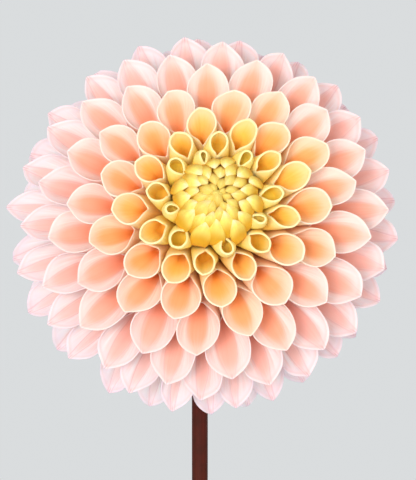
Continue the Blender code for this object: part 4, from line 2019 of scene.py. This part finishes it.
@dataclass
class Studio:
    """A plain pale floor that fades into the backdrop, soft lights and the camera."""

    backdrop: Colour = (0.70, 0.72, 0.73, 1.0)
    world_colour: Colour = (1.0, 0.99, 0.97, 1.0)
    world_strength: float = 0.66
    floor_colour: Colour = (0.72, 0.73, 0.73, 1.0)
    floor_roughness: float = 0.9
    floor_radius: float = 1.15
    floor_drop: float = 0.2 * MM
    floor_turns: int = 96
    floor_fade: Span = (0.3, 0.97)
    lamp_aim: Triple = (0.0, -0.03, 0.24)

    # A broad key from the left front, a lower fill from the right and a weak back light.
    lamps: tuple[Lamp, ...] = (
        Lamp("key", (-0.50, -1.50, 0.32), 0.6, 12.3, (1.0, 0.99, 0.97)),
        Lamp("fill", (0.70, -1.5, 0.10), 1.0, 8.2, (0.99, 0.985, 1.0)),
        Lamp("back", (0.4, 1.4, 1.0), 1.2, 1.8, (1.0, 1.0, 1.0)),
    )

    camera_place: Triple = (0.0025, -0.651, 0.2962)
    lens: float = 156.25
    sensor: float = 36.0

    def world(self) -> None:
        """Even light from all round, with a plain backdrop for the camera."""
        world = bpy.data.worlds.new("studio_world")
        bpy.context.scene.world = world
        world.use_nodes = True
        world.node_tree.nodes.clear()
        tree = Tree(world.node_tree)
        light = tree.node("ShaderNodeBackground")
        tree.feed(light.inputs["Color"], self.world_colour)
        tree.feed(light.inputs["Strength"], self.world_strength)
        seen = tree.node("ShaderNodeBackground")
        tree.feed(seen.inputs["Color"], self.backdrop)
        path = tree.node("ShaderNodeLightPath").outputs
        straight = tree.math("ADD", path["Is Camera Ray"], path["Is Glossy Ray"], clamp=True)
        both = tree.mix_shaders(straight, light.outputs[0], seen.outputs[0])
        tree.feed(tree.node("ShaderNodeOutputWorld").inputs["Surface"], both)

    def paper(self) -> bpy.types.Material:
        """Make the floor's material, which glows like the backdrop towards its edge.

        Returns:
            The material.
        """
        material = bpy.data.materials.new("floor_paper")
        material.use_nodes = True
        nodes, tree = material.node_tree.nodes, Tree(material.node_tree)
        shader = nodes["Principled BSDF"]
        tree.feed(shader.inputs["Base Color"], self.floor_colour)
        tree.feed(shader.inputs["Roughness"], self.floor_roughness)
        glow = tree.node("ShaderNodeEmission")
        tree.feed(glow.inputs["Color"], self.backdrop)
        length = tree.node("ShaderNodeVectorMath", operation="LENGTH")
        tree.feed(length.inputs[0], tree.place())
        start, end = (share * self.floor_radius for share in self.floor_fade)
        fade = tree.step(length.outputs["Value"], start, end)
        path = tree.node("ShaderNodeLightPath").outputs
        share = tree.times(fade, path["Is Camera Ray"])
        tree.feed(nodes["Material Output"].inputs["Surface"],
                  tree.mix_shaders(share, shader.outputs[0], glow.outputs[0]))
        return material

    def floor(self) -> None:
        """A round floor just under the vase."""
        points = [(self.floor_radius * math.cos(turn), self.floor_radius * math.sin(turn),
                   -self.floor_drop) for turn in full_turn(self.floor_turns)[0]]
        mesh = bpy.data.meshes.new("floor")
        mesh.from_pydata(points, [], [tuple(range(self.floor_turns))])
        mesh.materials.append(self.paper())
        add_object("floor", mesh)

    def camera(self) -> None:
        """A long lens, level, at the height of the bloom."""
        data = bpy.data.cameras.new("camera")
        data.lens, data.sensor_width, data.sensor_fit = self.lens, self.sensor, "AUTO"
        camera = add_object("camera", data)
        camera.location = self.camera_place
        camera.rotation_euler = (math.pi / 2, 0.0, 0.0)
        bpy.context.scene.camera = camera

    def build(self) -> None:
        """Set up everything that isn't the object."""
        bpy.context.scene.view_settings.view_transform = "Standard"
        self.world()
        self.floor()
        for lamp in self.lamps:
            lamp.build(self.lamp_aim)
        self.camera()


def main() -> None:
    """Build the object and the studio in order."""
    logging.basicConfig(level=logging.INFO, format="%(name)s %(message)s")
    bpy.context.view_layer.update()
    effects = Effects()
    form = BloomForm()
    Studio().build()
    for part in (Vase(), Stem(form), Calyx(form), BudHeart(form), Florets(form)):
        part.build(effects)


if __name__ == "__main__":
    main()
